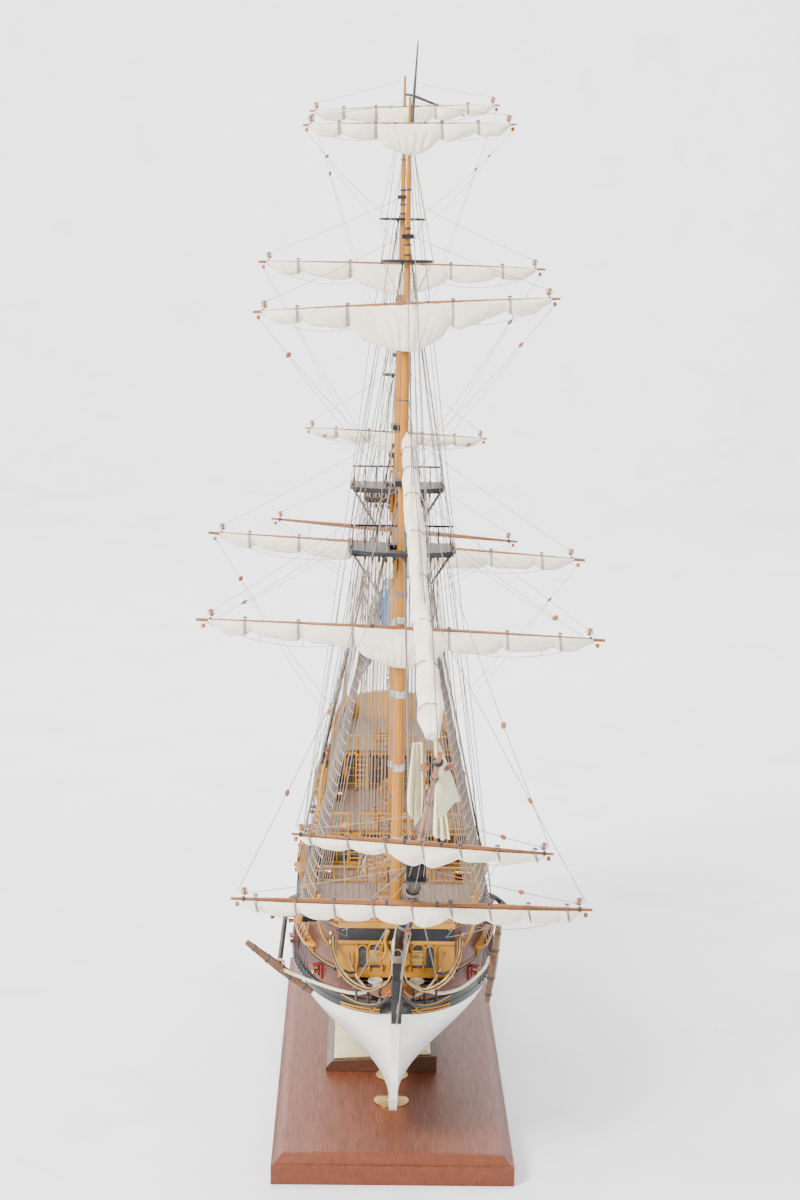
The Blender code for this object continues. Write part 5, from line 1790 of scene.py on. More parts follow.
def make_head_yard_lines():
    for name, brace_z in (("spritsail", 0.330), ("sprit_topsail", 0.392)):
        body = yard_body(name)
        for side, sign in SIDES.items():
            arm = yard_point(name, sign * 0.94, 0.003)
            head = sprit_point(0.150, 0.006) if name == "spritsail" else boom_point(0.150)
            spar_line(f"{name}_lift_{side}", body, head + Vector((sign * 0.003, 0, 0)), arm, 0.00024, 0.001,
                      ((0.62, 0.0030),))
            lead = Vector((sign * 0.004, MASTS["fore"]["y"] - 0.008, brace_z + 0.05))
            arm = yard_point(name, sign * 0.965, 0.004)
            spar_line(f"{name}_brace_{side}", body, lead, arm, 0.00023, 0.003, ((0.70, 0.0036),))
            spar_line(f"{name}_guy_{side}", body, Vector((sign * 0.0300, -0.190, 0.158)),
                      yard_point(name, sign * 0.60, -0.004), 0.00022, 0.002)


def make_halyards():
    """Lines that fall from the tops and yards to the pins at each mast's foot and along the rails."""
    shape = Shape()
    lines = []
    draw = random.Random(7)
    for mast, m in MASTS.items():
        deck = {"fore": FORECASTLE_Z, "main": QUARTER_Z, "mizzen": POOP_Z}[mast] + 0.009
        for sign in (-1, 1):
            for k in range(9):
                x = 0.0045 + 0.0024 * k
                top = Vector((sign * (x * 0.9 + 0.001), m["y"] + 0.0025 + 0.0018 * k, m["top"] - 0.004))
                foot = Vector((sign * (0.006 + 0.0022 * k),
                               m["y"] + 0.0085 + draw.uniform(-0.001, 0.001), deck))
                lines.append(sagging(top, foot, 0.0, 5))
                if k % 2 == 0:
                    shape.add(block(top - Vector((0, 0, 0.003)), 0.0034, (0, 0, 1), (0, 1, 0)), 0)
            for k in range(7):
                foot_y = m["y"] - 0.006 + 0.0045 * k
                rail = side_at(foot_y, rail_z(foot_y), -0.004)
                top = Vector((sign * (0.008 + 0.0028 * k), m["y"] + 0.008 + 0.001 * k, m["top"] - 0.001))
                lines.append(sagging(top, (sign * rail.x, foot_y, rail_z(foot_y)), 0.002, 7))
            for k in range(3):
                top = Vector((sign * (0.0022 + 0.0011 * k), upper_y(mast) - 0.001, m["trees"] - 0.006))
                foot = Vector((sign * (0.005 + 0.005 * k), m["y"] - 0.004, m["top"] + TOP_THICKNESS))
                lines.append([top, foot])
    ropes("halyards", lines, 0.00026, "running")
    piece("halyard_blocks", shape, ["fitting"])


def make_bowsprit_rigging():
    """Bobstays, shrouds, guys and the loose blocks under the bowsprit and jibboom."""
    stem = Vector((0, -0.2385, 0.1270))
    lines, thin = [], []
    shape = Shape()
    for k, distance in enumerate((0.086, 0.120)):
        end = sprit_point(distance, -SPRIT_RADIUS)
        start = stem + Vector((0, 0.002 * k, -0.0075 * k))
        lines.append([start, end])
        heart = end.lerp(start, 0.14)
        deadeye(shape, heart, 0.0019, (1, 0, 0))
        deadeye(shape, end.lerp(start, 0.24), 0.0019, (1, 0, 0))
    for sign in (-1, 1):
        bow = side_at(-0.196, 0.138)
        start = Vector((sign * bow.x, bow.y, 0.127))
        end = sprit_point(0.112, -0.001) + Vector((sign * SPRIT_RADIUS, 0, 0))
        lines.append([start, end])
        deadeye(shape, start.lerp(end, 0.88), 0.0016, (0, 0, 1))
        deadeye(shape, start.lerp(end, 0.80), 0.0016, (0, 0, 1))
        thin.append(sagging((sign * 0.034, -0.186, 0.160),
                            boom_point(0.020) + Vector((sign * 0.003, 0, 0.002)), 0.004))
        thin.append(sagging(yard_point("spritsail", sign * 0.05, 0.004), boom_point(0.20), 0.002))
        thin.append(sagging((sign * 0.038, -0.180, 0.164),
                            sprit_point(0.145, 0.010) + Vector((sign * 0.002, 0, 0)),
                            0.003))
    thin.append(sagging(sprit_point(0.150, -0.006), boom_point(0.225), 0.002))
    ropes("bobstays", lines, 0.00042, "tarred")
    ropes("bowsprit_guys", thin, 0.00018, "running")
    draw = random.Random(11)
    for k in range(12):
        spot = sprit_point(0.118 + 0.030 * draw.random(), 0.004)
        spot += Vector((draw.uniform(-0.0085, 0.0085), 0, draw.uniform(-0.004, 0.006)))
        axis = Vector((draw.uniform(-1, 1), draw.uniform(-1, 0.3), draw.uniform(-1, 1)))
        shape.add(block(spot, 0.0038, axis), 0)
        shape.add(strap(spot, 0.0038, axis), 2)
    piece("bowsprit_blocks", shape, ["fitting", "iron", "tarred"])


def make_bowsprit_fittings():
    """Cap at the bowsprit's end, saddles, woolding turns, the gammoning and the jibboom's blocks."""
    axis = sprit_axis()
    up = (sprit_point(0, 1) - sprit_point(0)).normalized()
    across = axis.cross(up)
    turn = Matrix((across, axis, up)).transposed()
    shape = Shape()
    shape.add(box(sprit_point(SPRIT_LENGTH - 0.0045, 0.0035), (0.0110, 0.0046, 0.0165), turn), 0)
    for distance in (0.088, 0.104):
        shape.add(box(sprit_point(distance, 0.0040), (0.0085, 0.0028, 0.0062), turn), 0)
    for distance in (0.060, 0.127):
        for k in range(6):
            ring = [sprit_point(distance + 0.0007 * k) + across * (math.cos(a) * (SPRIT_RADIUS + 0.0003))
                    + up * (math.sin(a) * (SPRIT_RADIUS + 0.0003)) for a in
                    (2 * math.pi * i / 18 for i in range(19))]
            shape.add(tube(ring, 0.00036, 5), 1)
    for k in range(9):
        distance = 0.012 + 0.0011 * k
        low = Vector((0, -0.2190 + 0.0009 * k, 0.1440 - 0.0007 * k))
        loop = []
        for i in range(17):
            a = math.pi * i / 16
            loop.append(sprit_point(distance) + across * (math.cos(a) * (SPRIT_RADIUS + 0.0004))
                        + up * (math.sin(a) * (SPRIT_RADIUS + 0.0004)))
        side = 0.0027
        loop = [low + Vector((math.copysign(side, loop[0].x - low.x), 0, 0)), *loop,
                low + Vector((math.copysign(side, loop[-1].x - low.x), 0, 0))]
        shape.add(tube(loop, 0.00046, 5), 2)
    for distance in (0.030, 0.075, 0.120, 0.168, 0.205):
        for k in range(4):
            ring = [boom_point(distance + 0.0006 * k) + across * (math.cos(a) * (JIBBOOM_RADIUS + 0.0002))
                    + up * (math.sin(a) * (JIBBOOM_RADIUS + 0.0002)) for a in
                    (2 * math.pi * i / 12 for i in range(13))]
            shape.add(tube(ring, 0.00030, 5), 1)
    for sign in (-1, 1):
        spot = boom_point(0.222) + across * (sign * 0.0058)
        shape.add(block(spot, 0.0058, axis + across * (0.6 * sign)), 3)
        shape.add(strap(spot, 0.0058, axis + across * (0.6 * sign)), 1)
        spot = boom_point(0.198) + across * (sign * 0.0040) + up * 0.001
        shape.add(block(spot, 0.0042, up), 3)
    shape.add(lathe([(0.0020, 0), (0.0027, 0.0006), (0.0027, 0.0018), (0.0018, 0.0024)],
                    boom_point(0.2275), axis, 12), 0)
    piece("bowsprit_cap_and_lashings", shape, ["black", "tarred", "pale_rope", "fitting"],
          bevel=0.0002)


def make_gaff_rigging():
    """Throat lashings, peak halyard and vangs of the gaff; the lashings ride on the gaff, the lines are
    baked in place.
    """
    shape = Shape()
    low, high = Vector((0, 0.1712, 0.2642)), Vector((0, 0.298, 0.324))
    ahead = (high - low).normalized()
    up = Vector((1, 0, 0)).cross(ahead)
    for share in (0.05, 0.22, 0.45, 0.68, 0.90):
        for k in range(4):
            middle = low.lerp(high, share) + ahead * (0.0007 * k)
            ring = [middle + Vector((1, 0, 0)) * (math.cos(a) * 0.0022) + up * (math.sin(a) * 0.0022)
                    for a in (2 * math.pi * i / 12 for i in range(13))]
            shape.add(tube(ring, 0.00030, 5), 0)
    shape.add(block(high + Vector((0, -0.003, -0.0045)), 0.0040), 1)
    piece("gaff_lashings", shape, ["tarred", "fitting"], "gaff")
    for k, share in enumerate((0.42, 0.70, 0.94)):
        spar_line(f"peak_halyard_{k}", "gaff", Vector((0, 0.1685, 0.4050 - 0.004 * k)),
                  low.lerp(high, share) + up * 0.0022, 0.00018, 0.0, ((0.5, 0.0032),) if k == 1 else ())
    for side, sign in SIDES.items():
        spar_line(f"gaff_vang_{side}", "gaff", Vector((sign * 0.036, 0.262, POOP_RAIL + 0.0014)),
                  high + Vector((sign * 0.0016, -0.004, -0.001)), 0.00018, 0.002, ((0.72, 0.0032),))


def make_rigging():
    make_mast_bands()
    make_tops()
    make_caps()
    make_poles()
    make_channels()
    make_lower_shrouds()
    make_upper_shrouds()
    make_backstays()
    make_stays()
    make_lifts_and_braces()
    make_head_yard_lines()
    make_halyards()
    make_bowsprit_rigging()
    make_bowsprit_fittings()
    make_gaff_rigging()


# ---------------------------------------------------------------- small joinery

def balustrade(shape, a, b, height, count, rail=0.0016, mark=0, post=0.0007):
    """Turned posts from a to b under a handrail, with stouter end posts."""
    a, b = Vector(a), Vector(b)
    for k in range(count):
        foot = a.lerp(b, k / (count - 1))
        r = post * (1.5 if k in (0, count - 1) else 1.0)
        shape.add(lathe([(r, 0), (r, height * 0.12), (r * 0.55, height * 0.2), (r * 1.15, height * 0.5),
                         (r * 0.55, height * 0.8), (r, height * 0.9), (r, height)], foot, sides=8), mark)
    up = Vector((0, 0, height))
    shape.add(beam(a + up, b + up, rail, rail * 0.75), mark)
    shape.add(beam(a + up * 0.08, b + up * 0.08, rail * 0.7, rail * 0.5), mark)


def ladder(shape, top, bottom, width, count, mark=0):
    top, bottom = Vector(top), Vector(bottom)
    for sign in (-1, 1):
        offset = Vector((sign * width / 2, 0, 0))
        shape.add(beam(bottom + offset, top + offset, 0.0008, 0.0022), mark)
    for k in range(1, count + 1):
        p = bottom.lerp(top, k / (count + 1))
        shape.add(box(p, (width, 0.0024, 0.0005)), mark)


def grating(shape, center, width, length, frame_mark=0, bar_mark=1):
    """Hatch coaming round crossing battens."""
    c = Vector(center)
    edge, high = 0.0016, 0.0026
    for sign in (-1, 1):
        shape.add(box(c + Vector((sign * (width + edge) / 2, 0, high / 2)),
                      (edge, length + 2 * edge, high)), frame_mark)
        shape.add(box(c + Vector((0, sign * (length + edge) / 2, high / 2)), (width, edge, high)),
                  frame_mark)
    pitch = 0.0019
    for axis, span, other in ((0, width, length), (1, length, width)):
        count = max(int(span / pitch), 2)
        for k in range(1, count):
            offset = lerp(-span / 2, span / 2, k / count)
            place = c + Vector((offset, 0, high * 0.72)) if axis == 0 else c + Vector((0, offset,
                    high * 0.80))
            size = (0.0008, other, 0.0008) if axis == 0 else (other, 0.0008, 0.0008)
            shape.add(box(place, size), bar_mark)


def pin_rail(shape, a, b, count, rail_mark=0, pin_mark=1, coil_mark=2):
    """Belaying rail with pins and hanks of rope."""
    a, b = Vector(a), Vector(b)
    shape.add(beam(a, b, 0.0020, 0.0011), rail_mark)
    for k in range(count):
        p = a.lerp(b, (k + 0.5) / count)
        shape.add(lathe([(0.0003, -0.0030), (0.0004, -0.0004), (0.00065, 0.0006), (0.00062, 0.0020),
                         (0.0003, 0.0028)], p, sides=8), pin_mark)
        if k % 2 == 0:
            coil = [p + Vector((0.0011 * math.sin(a1), 0.0009 * math.cos(2 * a1) * 0.5 + 0.0012,
                                -0.0024 - 0.0030 * (0.5 - 0.5 * math.cos(a1))))
                    for a1 in (2 * math.pi * i / 16 * 2 for i in range(17))]
            shape.add(tube(coil, 0.00038, 5), coil_mark)


def cannon(shape, place, sign, wood_mark=0, metal_mark=1, iron_mark=2):
    """Small gun on a stepped four-wheeled carriage, run out through the side."""
    p = Vector(place)
    for dy in (-0.0017, 0.0017):
        outline = [(-0.0056, 0.0010), (0.0040, 0.0010), (0.0040, 0.0040), (0.0016, 0.0040),
                   (0.0016, 0.0034),
                   (-0.0012, 0.0034), (-0.0012, 0.0028), (-0.0056, 0.0024)]
        shape.add(plate([p + Vector((sign * x, dy, z)) for x, z in outline], (0, 1, 0), 0.0009), wood_mark)
        for x in (-0.0040, 0.0026):
            shape.add(lathe([(0.0011, -0.0004), (0.0012, 0), (0.0011, 0.0004)],
                            p + Vector((sign * x, dy * 1.5, 0.0012)), (0, 1, 0), 12), wood_mark)
    shape.add(box(p + Vector((-sign * 0.0008, 0, 0.0014)), (0.0080, 0.0026, 0.0007)), wood_mark)
    breech = p + Vector((-sign * 0.0060, 0, 0.0044))
    barrel = [(0.0004, -0.0018), (0.0008, -0.0014), (0.0005, -0.0008), (0.0016, 0.0), (0.0017, 0.0006),
              (0.0015, 0.0010), (0.0014, 0.0040), (0.0015, 0.0043), (0.0012, 0.0046), (0.0010, 0.0110),
              (0.0013, 0.0116), (0.0012, 0.0124), (0.0006, 0.0125)]
    shape.add(lathe(barrel, breech, (sign, 0, 0.02), 14), metal_mark)
    shape.add(tube(sagging(p + Vector((-sign * 0.0058, -0.0034, 0.0030)),
                           p + Vector((-sign * 0.0058, 0.0034, 0.0030)),
                           0.001, 7), 0.0003, 5), iron_mark)


def deck_half(y, z):
    return side_at(y, z, -SIDE_THICKNESS).x


def screen(name, y, low, high, doors, facing=-1, panels=True):
    """Bulkhead across the ship under a deck's edge: plank wall, pilasters, doors and dark lights."""
    shape = Shape()
    half = deck_half(y, low) - 0.0006
    face = y + facing * 0.0006
    shape.add(box((0, y, (low + high) / 2), (2 * half, 0.0012, high - low)), 0)
    shape.add(box((0, face, high - 0.0012), (2 * half, 0.0022, 0.0018)), 1)
    shape.add(box((0, face, low + 0.0008), (2 * half, 0.0018, 0.0012)), 1)
    for x, width in doors:
        for sign in (-1, 1):
            tall = (high - low) * 0.74
            shape.add(box((sign * x, face, low + 0.0012 + tall / 2), (width, 0.0012, tall)), 2)
            for edge in (-1, 1):
                shape.add(box((sign * x + edge * (width / 2 + 0.0006), face + facing * 0.0003,
                               low + 0.0012 + tall / 2), (0.0010, 0.0016, tall)), 1)
            arch = arc((sign * x, face + facing * 0.0006, low + 0.0012 + tall - width * 0.1),
                       width / 2 + 0.0003,
                       0, 180, 9)
            shape.add(tube(arch, 0.00055, 6), 1)
            if panels:
                shape.add(box((sign * x, face + facing * 0.0006, low + 0.0012 + tall * 0.5),
                              (0.0004, 0.0008, tall)), 1)
                for row in (0.3, 0.62):
                    shape.add(box((sign * x, face + facing * 0.0006, low + 0.0012 + tall * row),
                                  (width, 0.0008, 0.0004)), 1)
    count = int(half * 2 / 0.0125)
    for k in range(count + 1):
        x = lerp(-half + 0.001, half - 0.001, k / count)
        if all(abs(abs(x) - d) > w / 2 + 0.0014 for d, w in doors):
            shape.add(beam((x, face, low + 0.001), (x, face, high - 0.002), 0.0012, 0.0014, (0, 1, 0)), 1)
    return piece(name, shape, ["inner", "ochre", "iron"], bevel=0.00012)


def make_screens():
    screen("forecastle_screen", FORECASTLE_END - 0.0025, MAIN_DECK_Z, FORECASTLE_Z - 0.0018,
           ((0.011, 0.0085), (0.030, 0.0085)), 1, False)
    screen("quarterdeck_screen", QUARTER_START + 0.0030, MAIN_DECK_Z, QUARTER_Z - 0.0018,
           ((0.012, 0.0085), (0.034, 0.0080)))
    screen("poop_screen", POOP_START + 0.0030, QUARTER_Z, POOP_Z - 0.0018,
           ((0.011, 0.0085), (0.028, 0.0080)))


def make_deck_rails():
    """Ochre breast rails at each deck's edge, ladders between the decks, and rail posts along the
    quarterdeck and poop sides.
    """
    rails = Shape()
    half = deck_half(FORECASTLE_END, FORECASTLE_Z) - 0.001
    for a, b, count in ((-half, -0.0180, 6), (-0.0120, 0.0120, 7), (0.0180, half, 6)):
        balustrade(rails, (a, FORECASTLE_END - 0.0016, FORECASTLE_Z),
                   (b, FORECASTLE_END - 0.0016, FORECASTLE_Z),
                   0.0098, count)
    half = deck_half(QUARTER_START, QUARTER_Z) - 0.001
    for a, b, count in ((-half, -0.0300, 5), (-0.0230, 0.0230, 11), (0.0300, half, 5)):
        balustrade(rails, (a, QUARTER_START + 0.0016, QUARTER_Z), (b, QUARTER_START + 0.0016, QUARTER_Z),
                   0.0110, count)
    half = deck_half(POOP_START, POOP_Z) - 0.001
    for a, b, count in ((-half, -0.0250, 4), (-0.0190, 0.0190, 10), (0.0250, half, 4)):
        balustrade(rails, (a, POOP_START + 0.0016, POOP_Z), (b, POOP_START + 0.0016, POOP_Z), 0.0105, count)
    for sign in (-1, 1):
        for start, end, z, height, count in ((POOP_START + 0.004, 0.250, POOP_RAIL, 0.0052, 15),
                                             (QUARTER_START + 0.004, POOP_START - 0.004, QUARTER_RAIL,
                                              0.0060, 17)):
            posts = []
            for k in range(count):
                y = lerp(start, end, k / (count - 1))
                p = side_at(y, z, -0.0011)
                posts.append(Vector((sign * p.x, y, z + 0.0010)))
            for k, foot in enumerate(posts):
                rails.add(lathe([(0.0006, 0), (0.00035, height * 0.25), (0.0007, height * 0.55),
                                 (0.0004, height)],
                                foot, sides=8), 0)
            up = Vector((0, 0, height))
            rails.add(tube([p + up for p in posts], 0.00085, 6), 0)
    piece("deck_rails", rails, ["ochre"])
    steps = Shape()
    for sign in (-1, 1):
        ladder(steps, (sign * 0.0265, QUARTER_START - 0.0002, QUARTER_Z + 0.0004),
               (sign * 0.0265, QUARTER_START - 0.0140, MAIN_DECK_Z + 0.0002), 0.0085, 6)
        ladder(steps, (sign * 0.0150, FORECASTLE_END + 0.0004, FORECASTLE_Z + 0.0004),
               (sign * 0.0150, FORECASTLE_END + 0.0110, MAIN_DECK_Z + 0.0002), 0.0080, 5)
        ladder(steps, (sign * 0.0220, POOP_START - 0.0002, POOP_Z + 0.0004),
               (sign * 0.0220, POOP_START - 0.0165, QUARTER_Z + 0.0002), 0.0080, 7)
    piece("ladders", steps, ["ochre"], bevel=0.0001)


def make_hatches():
    shape = Shape()
    grating(shape, (0, -0.120, FORECASTLE_Z), 0.016, 0.014)
    grating(shape, (0, -0.091, FORECASTLE_Z), 0.018, 0.012)
    grating(shape, (0.010, -0.058, MAIN_DECK_Z), 0.020, 0.012)
    grating(shape, (0.012, 0.010, MAIN_DECK_Z), 0.024, 0.014)
    grating(shape, (0, 0.060, QUARTER_Z), 0.016, 0.012)
    grating(shape, (0, 0.132, QUARTER_Z), 0.014, 0.010)
    sky = Vector((0, 0.194, POOP_Z))
    shape.add(box(sky + Vector((0, 0, 0.0022)), (0.016, 0.020, 0.0044)), 0)
    for sign in (-1, 1):
        shape.add(plate([sky + Vector((0, -0.010, 0.0082)), sky + Vector((0, 0.010, 0.0082)),
                         sky + Vector((sign * 0.0088, 0.010, 0.0042)),
                         sky + Vector((sign * 0.0088, -0.010, 0.0042))],
                        (sign * 0.41, 0, 0.91), 0.0007), 3)
        for k in range(6):
            y = sky.y + lerp(-0.010, 0.010, k / 5)
            shape.add(beam((0, y, POOP_Z + 0.0088), (sign * 0.0090, y, POOP_Z + 0.0046), 0.0007, 0.0007), 0)
    bell = Vector((0, -0.0745, FORECASTLE_Z))
    for sign in (-1, 1):
        shape.add(box(bell + Vector((sign * 0.0052, 0, 0.0075)), (0.0013, 0.0018, 0.0150)), 0)
    roof = [bell + Vector((x, 0, 0.0150 + 0.0022 * math.cos(x / 0.0068 * math.pi / 2))) for x in
            (lerp(-0.0068, 0.0068, i / 8) for i in range(9))]
    shape.add(tube(roof, 0.0014, 8, squeeze=0.5), 0)
    profile = [(0.0005, 0.0), (0.0013, -0.0008), (0.0015, -0.0030), (0.0025, -0.0052), (0.0021, -0.0053),
               (0.0010, -0.0020)]
    shape.add(lathe(list(reversed(profile)), bell + Vector((0, 0, 0.0140)), sides=16), 2)
    piece("hatches_and_belfry", shape, ["ochre", "deck", "brass", "glass"], bevel=0.0001)


def make_deck_gear():
    """Bitts, pin rails, guns, boat chocks, binnacle and wheel posts."""
    shape = Shape()
    for mast, m in MASTS.items():
        deck = {"fore": FORECASTLE_Z, "main": QUARTER_Z, "mizzen": POOP_Z}[mast]
        for dy in (-0.0130, 0.0100):
            for sign in (-1, 1):
                shape.add(box((sign * 0.0110, m["y"] + dy, deck + 0.0055), (0.0022, 0.0022, 0.0110)), 0)
            pin_rail(shape, (-0.0145, m["y"] + dy - 0.0014, deck + 0.0085), (0.0145, m["y"] + dy - 0.0014,
                     deck + 0.0085), 7, 0, 1, 2)
        coat = m["r"] + 0.0002
        shape.add(lathe([(coat + 0.0026, 0), (coat + 0.0020, 0.0012), (coat + 0.0004, 0.0026),
                         (coat, 0.0028)],
                        (0, m["y"], deck), sides=20), 3)
    for sign in (-1, 1):
        for y, z in ((-0.130, FORECASTLE_RAIL), (-0.105, FORECASTLE_RAIL), (-0.030, WAIST_RAIL),
                     (0.055, QUARTER_RAIL), (0.080, QUARTER_RAIL), (0.180, POOP_RAIL)):
            a, b = side_at(y - 0.009, z - 0.0030, -0.0040), side_at(y + 0.009, z - 0.0030, -0.0040)
            pin_rail(shape, (sign * a.x, a.y, z - 0.0030), (sign * b.x, b.y, z - 0.0030), 5, 0, 1, 2)
    boat_low, boat_high = (Vector(p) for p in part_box("ships_boat"))
    for y in (-0.038, -0.004):
        middle_x = (boat_low.x + boat_high.x) / 2
        shape.add(plate([(middle_x - 0.0105, y, MAIN_DECK_Z), (middle_x + 0.0105, y, MAIN_DECK_Z),
                         (middle_x + 0.0090, y, MAIN_DECK_Z + 0.0060),
                         (middle_x + 0.0045, y, MAIN_DECK_Z + 0.0034),
                         (middle_x - 0.0045, y, MAIN_DECK_Z + 0.0034),
                         (middle_x - 0.0090, y, MAIN_DECK_Z + 0.0060)],
                        (0, 1, 0), 0.0018), 0)
    wheel = Vector((0, 0.078, 0.176))
    for dy in (-0.0052, 0.0052):
        shape.add(plate([wheel + Vector((-0.0026, dy, -0.0130)), wheel + Vector((0.0026, dy, -0.0130)),
                         wheel + Vector((0.0013, dy, 0.0020)), wheel + Vector((-0.0013, dy, 0.0020))],
                        (0, 1, 0), 0.0012), 0)
    binnacle = Vector((0, 0.0660 + 0.0010, QUARTER_Z))
    shape.add(box(binnacle + Vector((0, -0.0005, 0.0045)), (0.0120, 0.0042, 0.0090)), 0)
    shape.add(lathe([(0.0022, 0), (0.0022, 0.0016), (0.0010, 0.0026)], binnacle + Vector((0, 0, 0.0090)),
                    sides=14), 4)
    piece("deck_gear", shape, ["ochre", "fitting", "hemp", "tarred", "brass"],
          bevel=0.0001)
    guns = Shape()
    for sign in (-1, 1):
        for y, z in ((-0.048, MAIN_DECK_Z), (-0.006, MAIN_DECK_Z), (0.106, QUARTER_Z)):
            x = deck_half(y, z) - 0.0095
            cannon(guns, (sign * x, y, z), sign)
    piece("deck_guns", guns, ["red", "brass", "hemp"], bevel=0.00008)


def make_boat_inside():
    """Thwarts and oars of the ship's boat, and its lashings."""
    low, high = (Vector(p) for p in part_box("ships_boat"))
    middle = (low + high) / 2
    length = high.y - low.y
    shape = Shape()
    for k in range(5):
        y = lerp(low.y + length * 0.20, high.y - length * 0.16, k / 4)
        shape.add(box((middle.x, y, high.z - 0.0026), ((high.x - low.x) * 0.66, 0.0026, 0.0007)), 0)
    for k, x in enumerate((-0.0030, 0.0, 0.0032)):
        a = Vector((middle.x + x, low.y + 0.009 + 0.002 * k, high.z - 0.0017))
        b = Vector((middle.x + x * 0.8, high.y - 0.010, high.z - 0.0017))
        shape.add(tube([a, b], 0.00050, 8), 1)
        shape.add(box(a + Vector((0, -0.003, 0)), (0.0018, 0.0070, 0.0004)), 1)
    piece("boat_fittings", shape, ["ochre", "yard"], bevel=0.0001)
    lines = []
    for y in (middle.y - 0.016, middle.y + 0.017):
        lines.append([(low.x - 0.004, y, MAIN_DECK_Z + 0.0004), (low.x - 0.0003, y, high.z - 0.001),
                      (low.x + 0.0008, y, high.z + 0.0005), (high.x - 0.0008, y, high.z + 0.0005),
                      (high.x + 0.0003, y, high.z - 0.001), (high.x + 0.004, y, MAIN_DECK_Z + 0.0004)])
    ropes("boat_lashings", lines, 0.00025, "hemp")


# ---------------------------------------------------------------- head of the ship

def make_stem_armour():
    """Black upper knee of the head with dark plugs painted as the shade in its bobstay holes, the lashed
    loop and rings on top.
    """
    shape = Shape()
    outline = [(-0.2145, 0.1490), (-0.2402, 0.1586), (-0.2466, 0.1502), (-0.2431, 0.1376),
               (-0.2336, 0.1264),
               (-0.2200, 0.1142), (-0.2120, 0.1180), (-0.2170, 0.1260)]
    for sign in (-1, 1):
        shape.add(plate([(sign * (0.0023 + 0.0004), y, z) for y, z in outline], (1, 0, 0), 0.0007), 0)
    front = [(y, z) for y, z in outline[1:6]]
    for (ya, za), (yb, zb) in zip(front, front[1:]):
        shape.add(beam((0, ya - 0.0003, za), (0, yb - 0.0003, zb), 0.0061, 0.0007, (0, -1, 0.5)), 0)
    # the bobstay holes are dark plugs: painted shade inside the holes
    for k in range(2):
        hole = Vector((0, -0.2355 + 0.0035 * k, 0.1320 - 0.0052 * k))
        shape.add(lathe([(0.0011, -0.0034), (0.0011, 0.0034)], hole, (1, 0, 0), 12), 3)
    head = Vector((0, -0.2170, 0.1560))
    for k in range(3):
        ring = [head + Vector((0.0029 * math.cos(a), -0.0006 * k, 0.0027 * math.sin(a) + 0.0004 * k))
                for a in (2 * math.pi * i / 18 for i in range(19))]
        shape.add(tube(ring, 0.00048, 6), 1)
    collar = [Vector((0.0035 * math.cos(a), -0.2408 + 0.0030 * math.sin(a), 0.1530 + 0.0018 * math.sin(a)))
              for a in (2 * math.pi * i / 18 for i in range(19))]
    shape.add(tube(collar, 0.00070, 6), 2)
    piece("knee_of_the_head", shape, ["black", "hemp", "gilt", "iron"], bevel=0.00012)


def make_gammoning():
    """Rope turns that lash the bowsprit down to the knee, with the frapping round their middle."""
    turns = []
    for k in range(9):
        crown = sprit_point(0.0, 0.0)
        y = -0.2085 - 0.0013 * k
        reach = (y - crown.y) / sprit_axis().y
        spar = sprit_point(reach)
        for sign in (-1, 1):
            turns.append([(0.0, spar.y, spar.z + SPRIT_RADIUS + 0.0004),
                          (spar.x + sign * (SPRIT_RADIUS + 0.0004) * 0.9, spar.y, spar.z + 0.002),
                          (spar.x + sign * (SPRIT_RADIUS + 0.0004), spar.y, spar.z - 0.001),
                          (sign * 0.0030, y - 0.0080, 0.1500), (sign * 0.0031, y - 0.0095, 0.1440)])
    ropes("gammoning", turns, 0.00048, "hemp")
    frapping = []
    for k in range(5):
        z = 0.1545 + 0.0008 * k
        frapping.append([Vector((0.0040 * math.cos(a), -0.2195 + 0.0075 * math.sin(a), z))
                         for a in (2 * math.pi * i / 20 for i in range(21))])
    ropes("gammoning_frapping", frapping, 0.00040, "running")


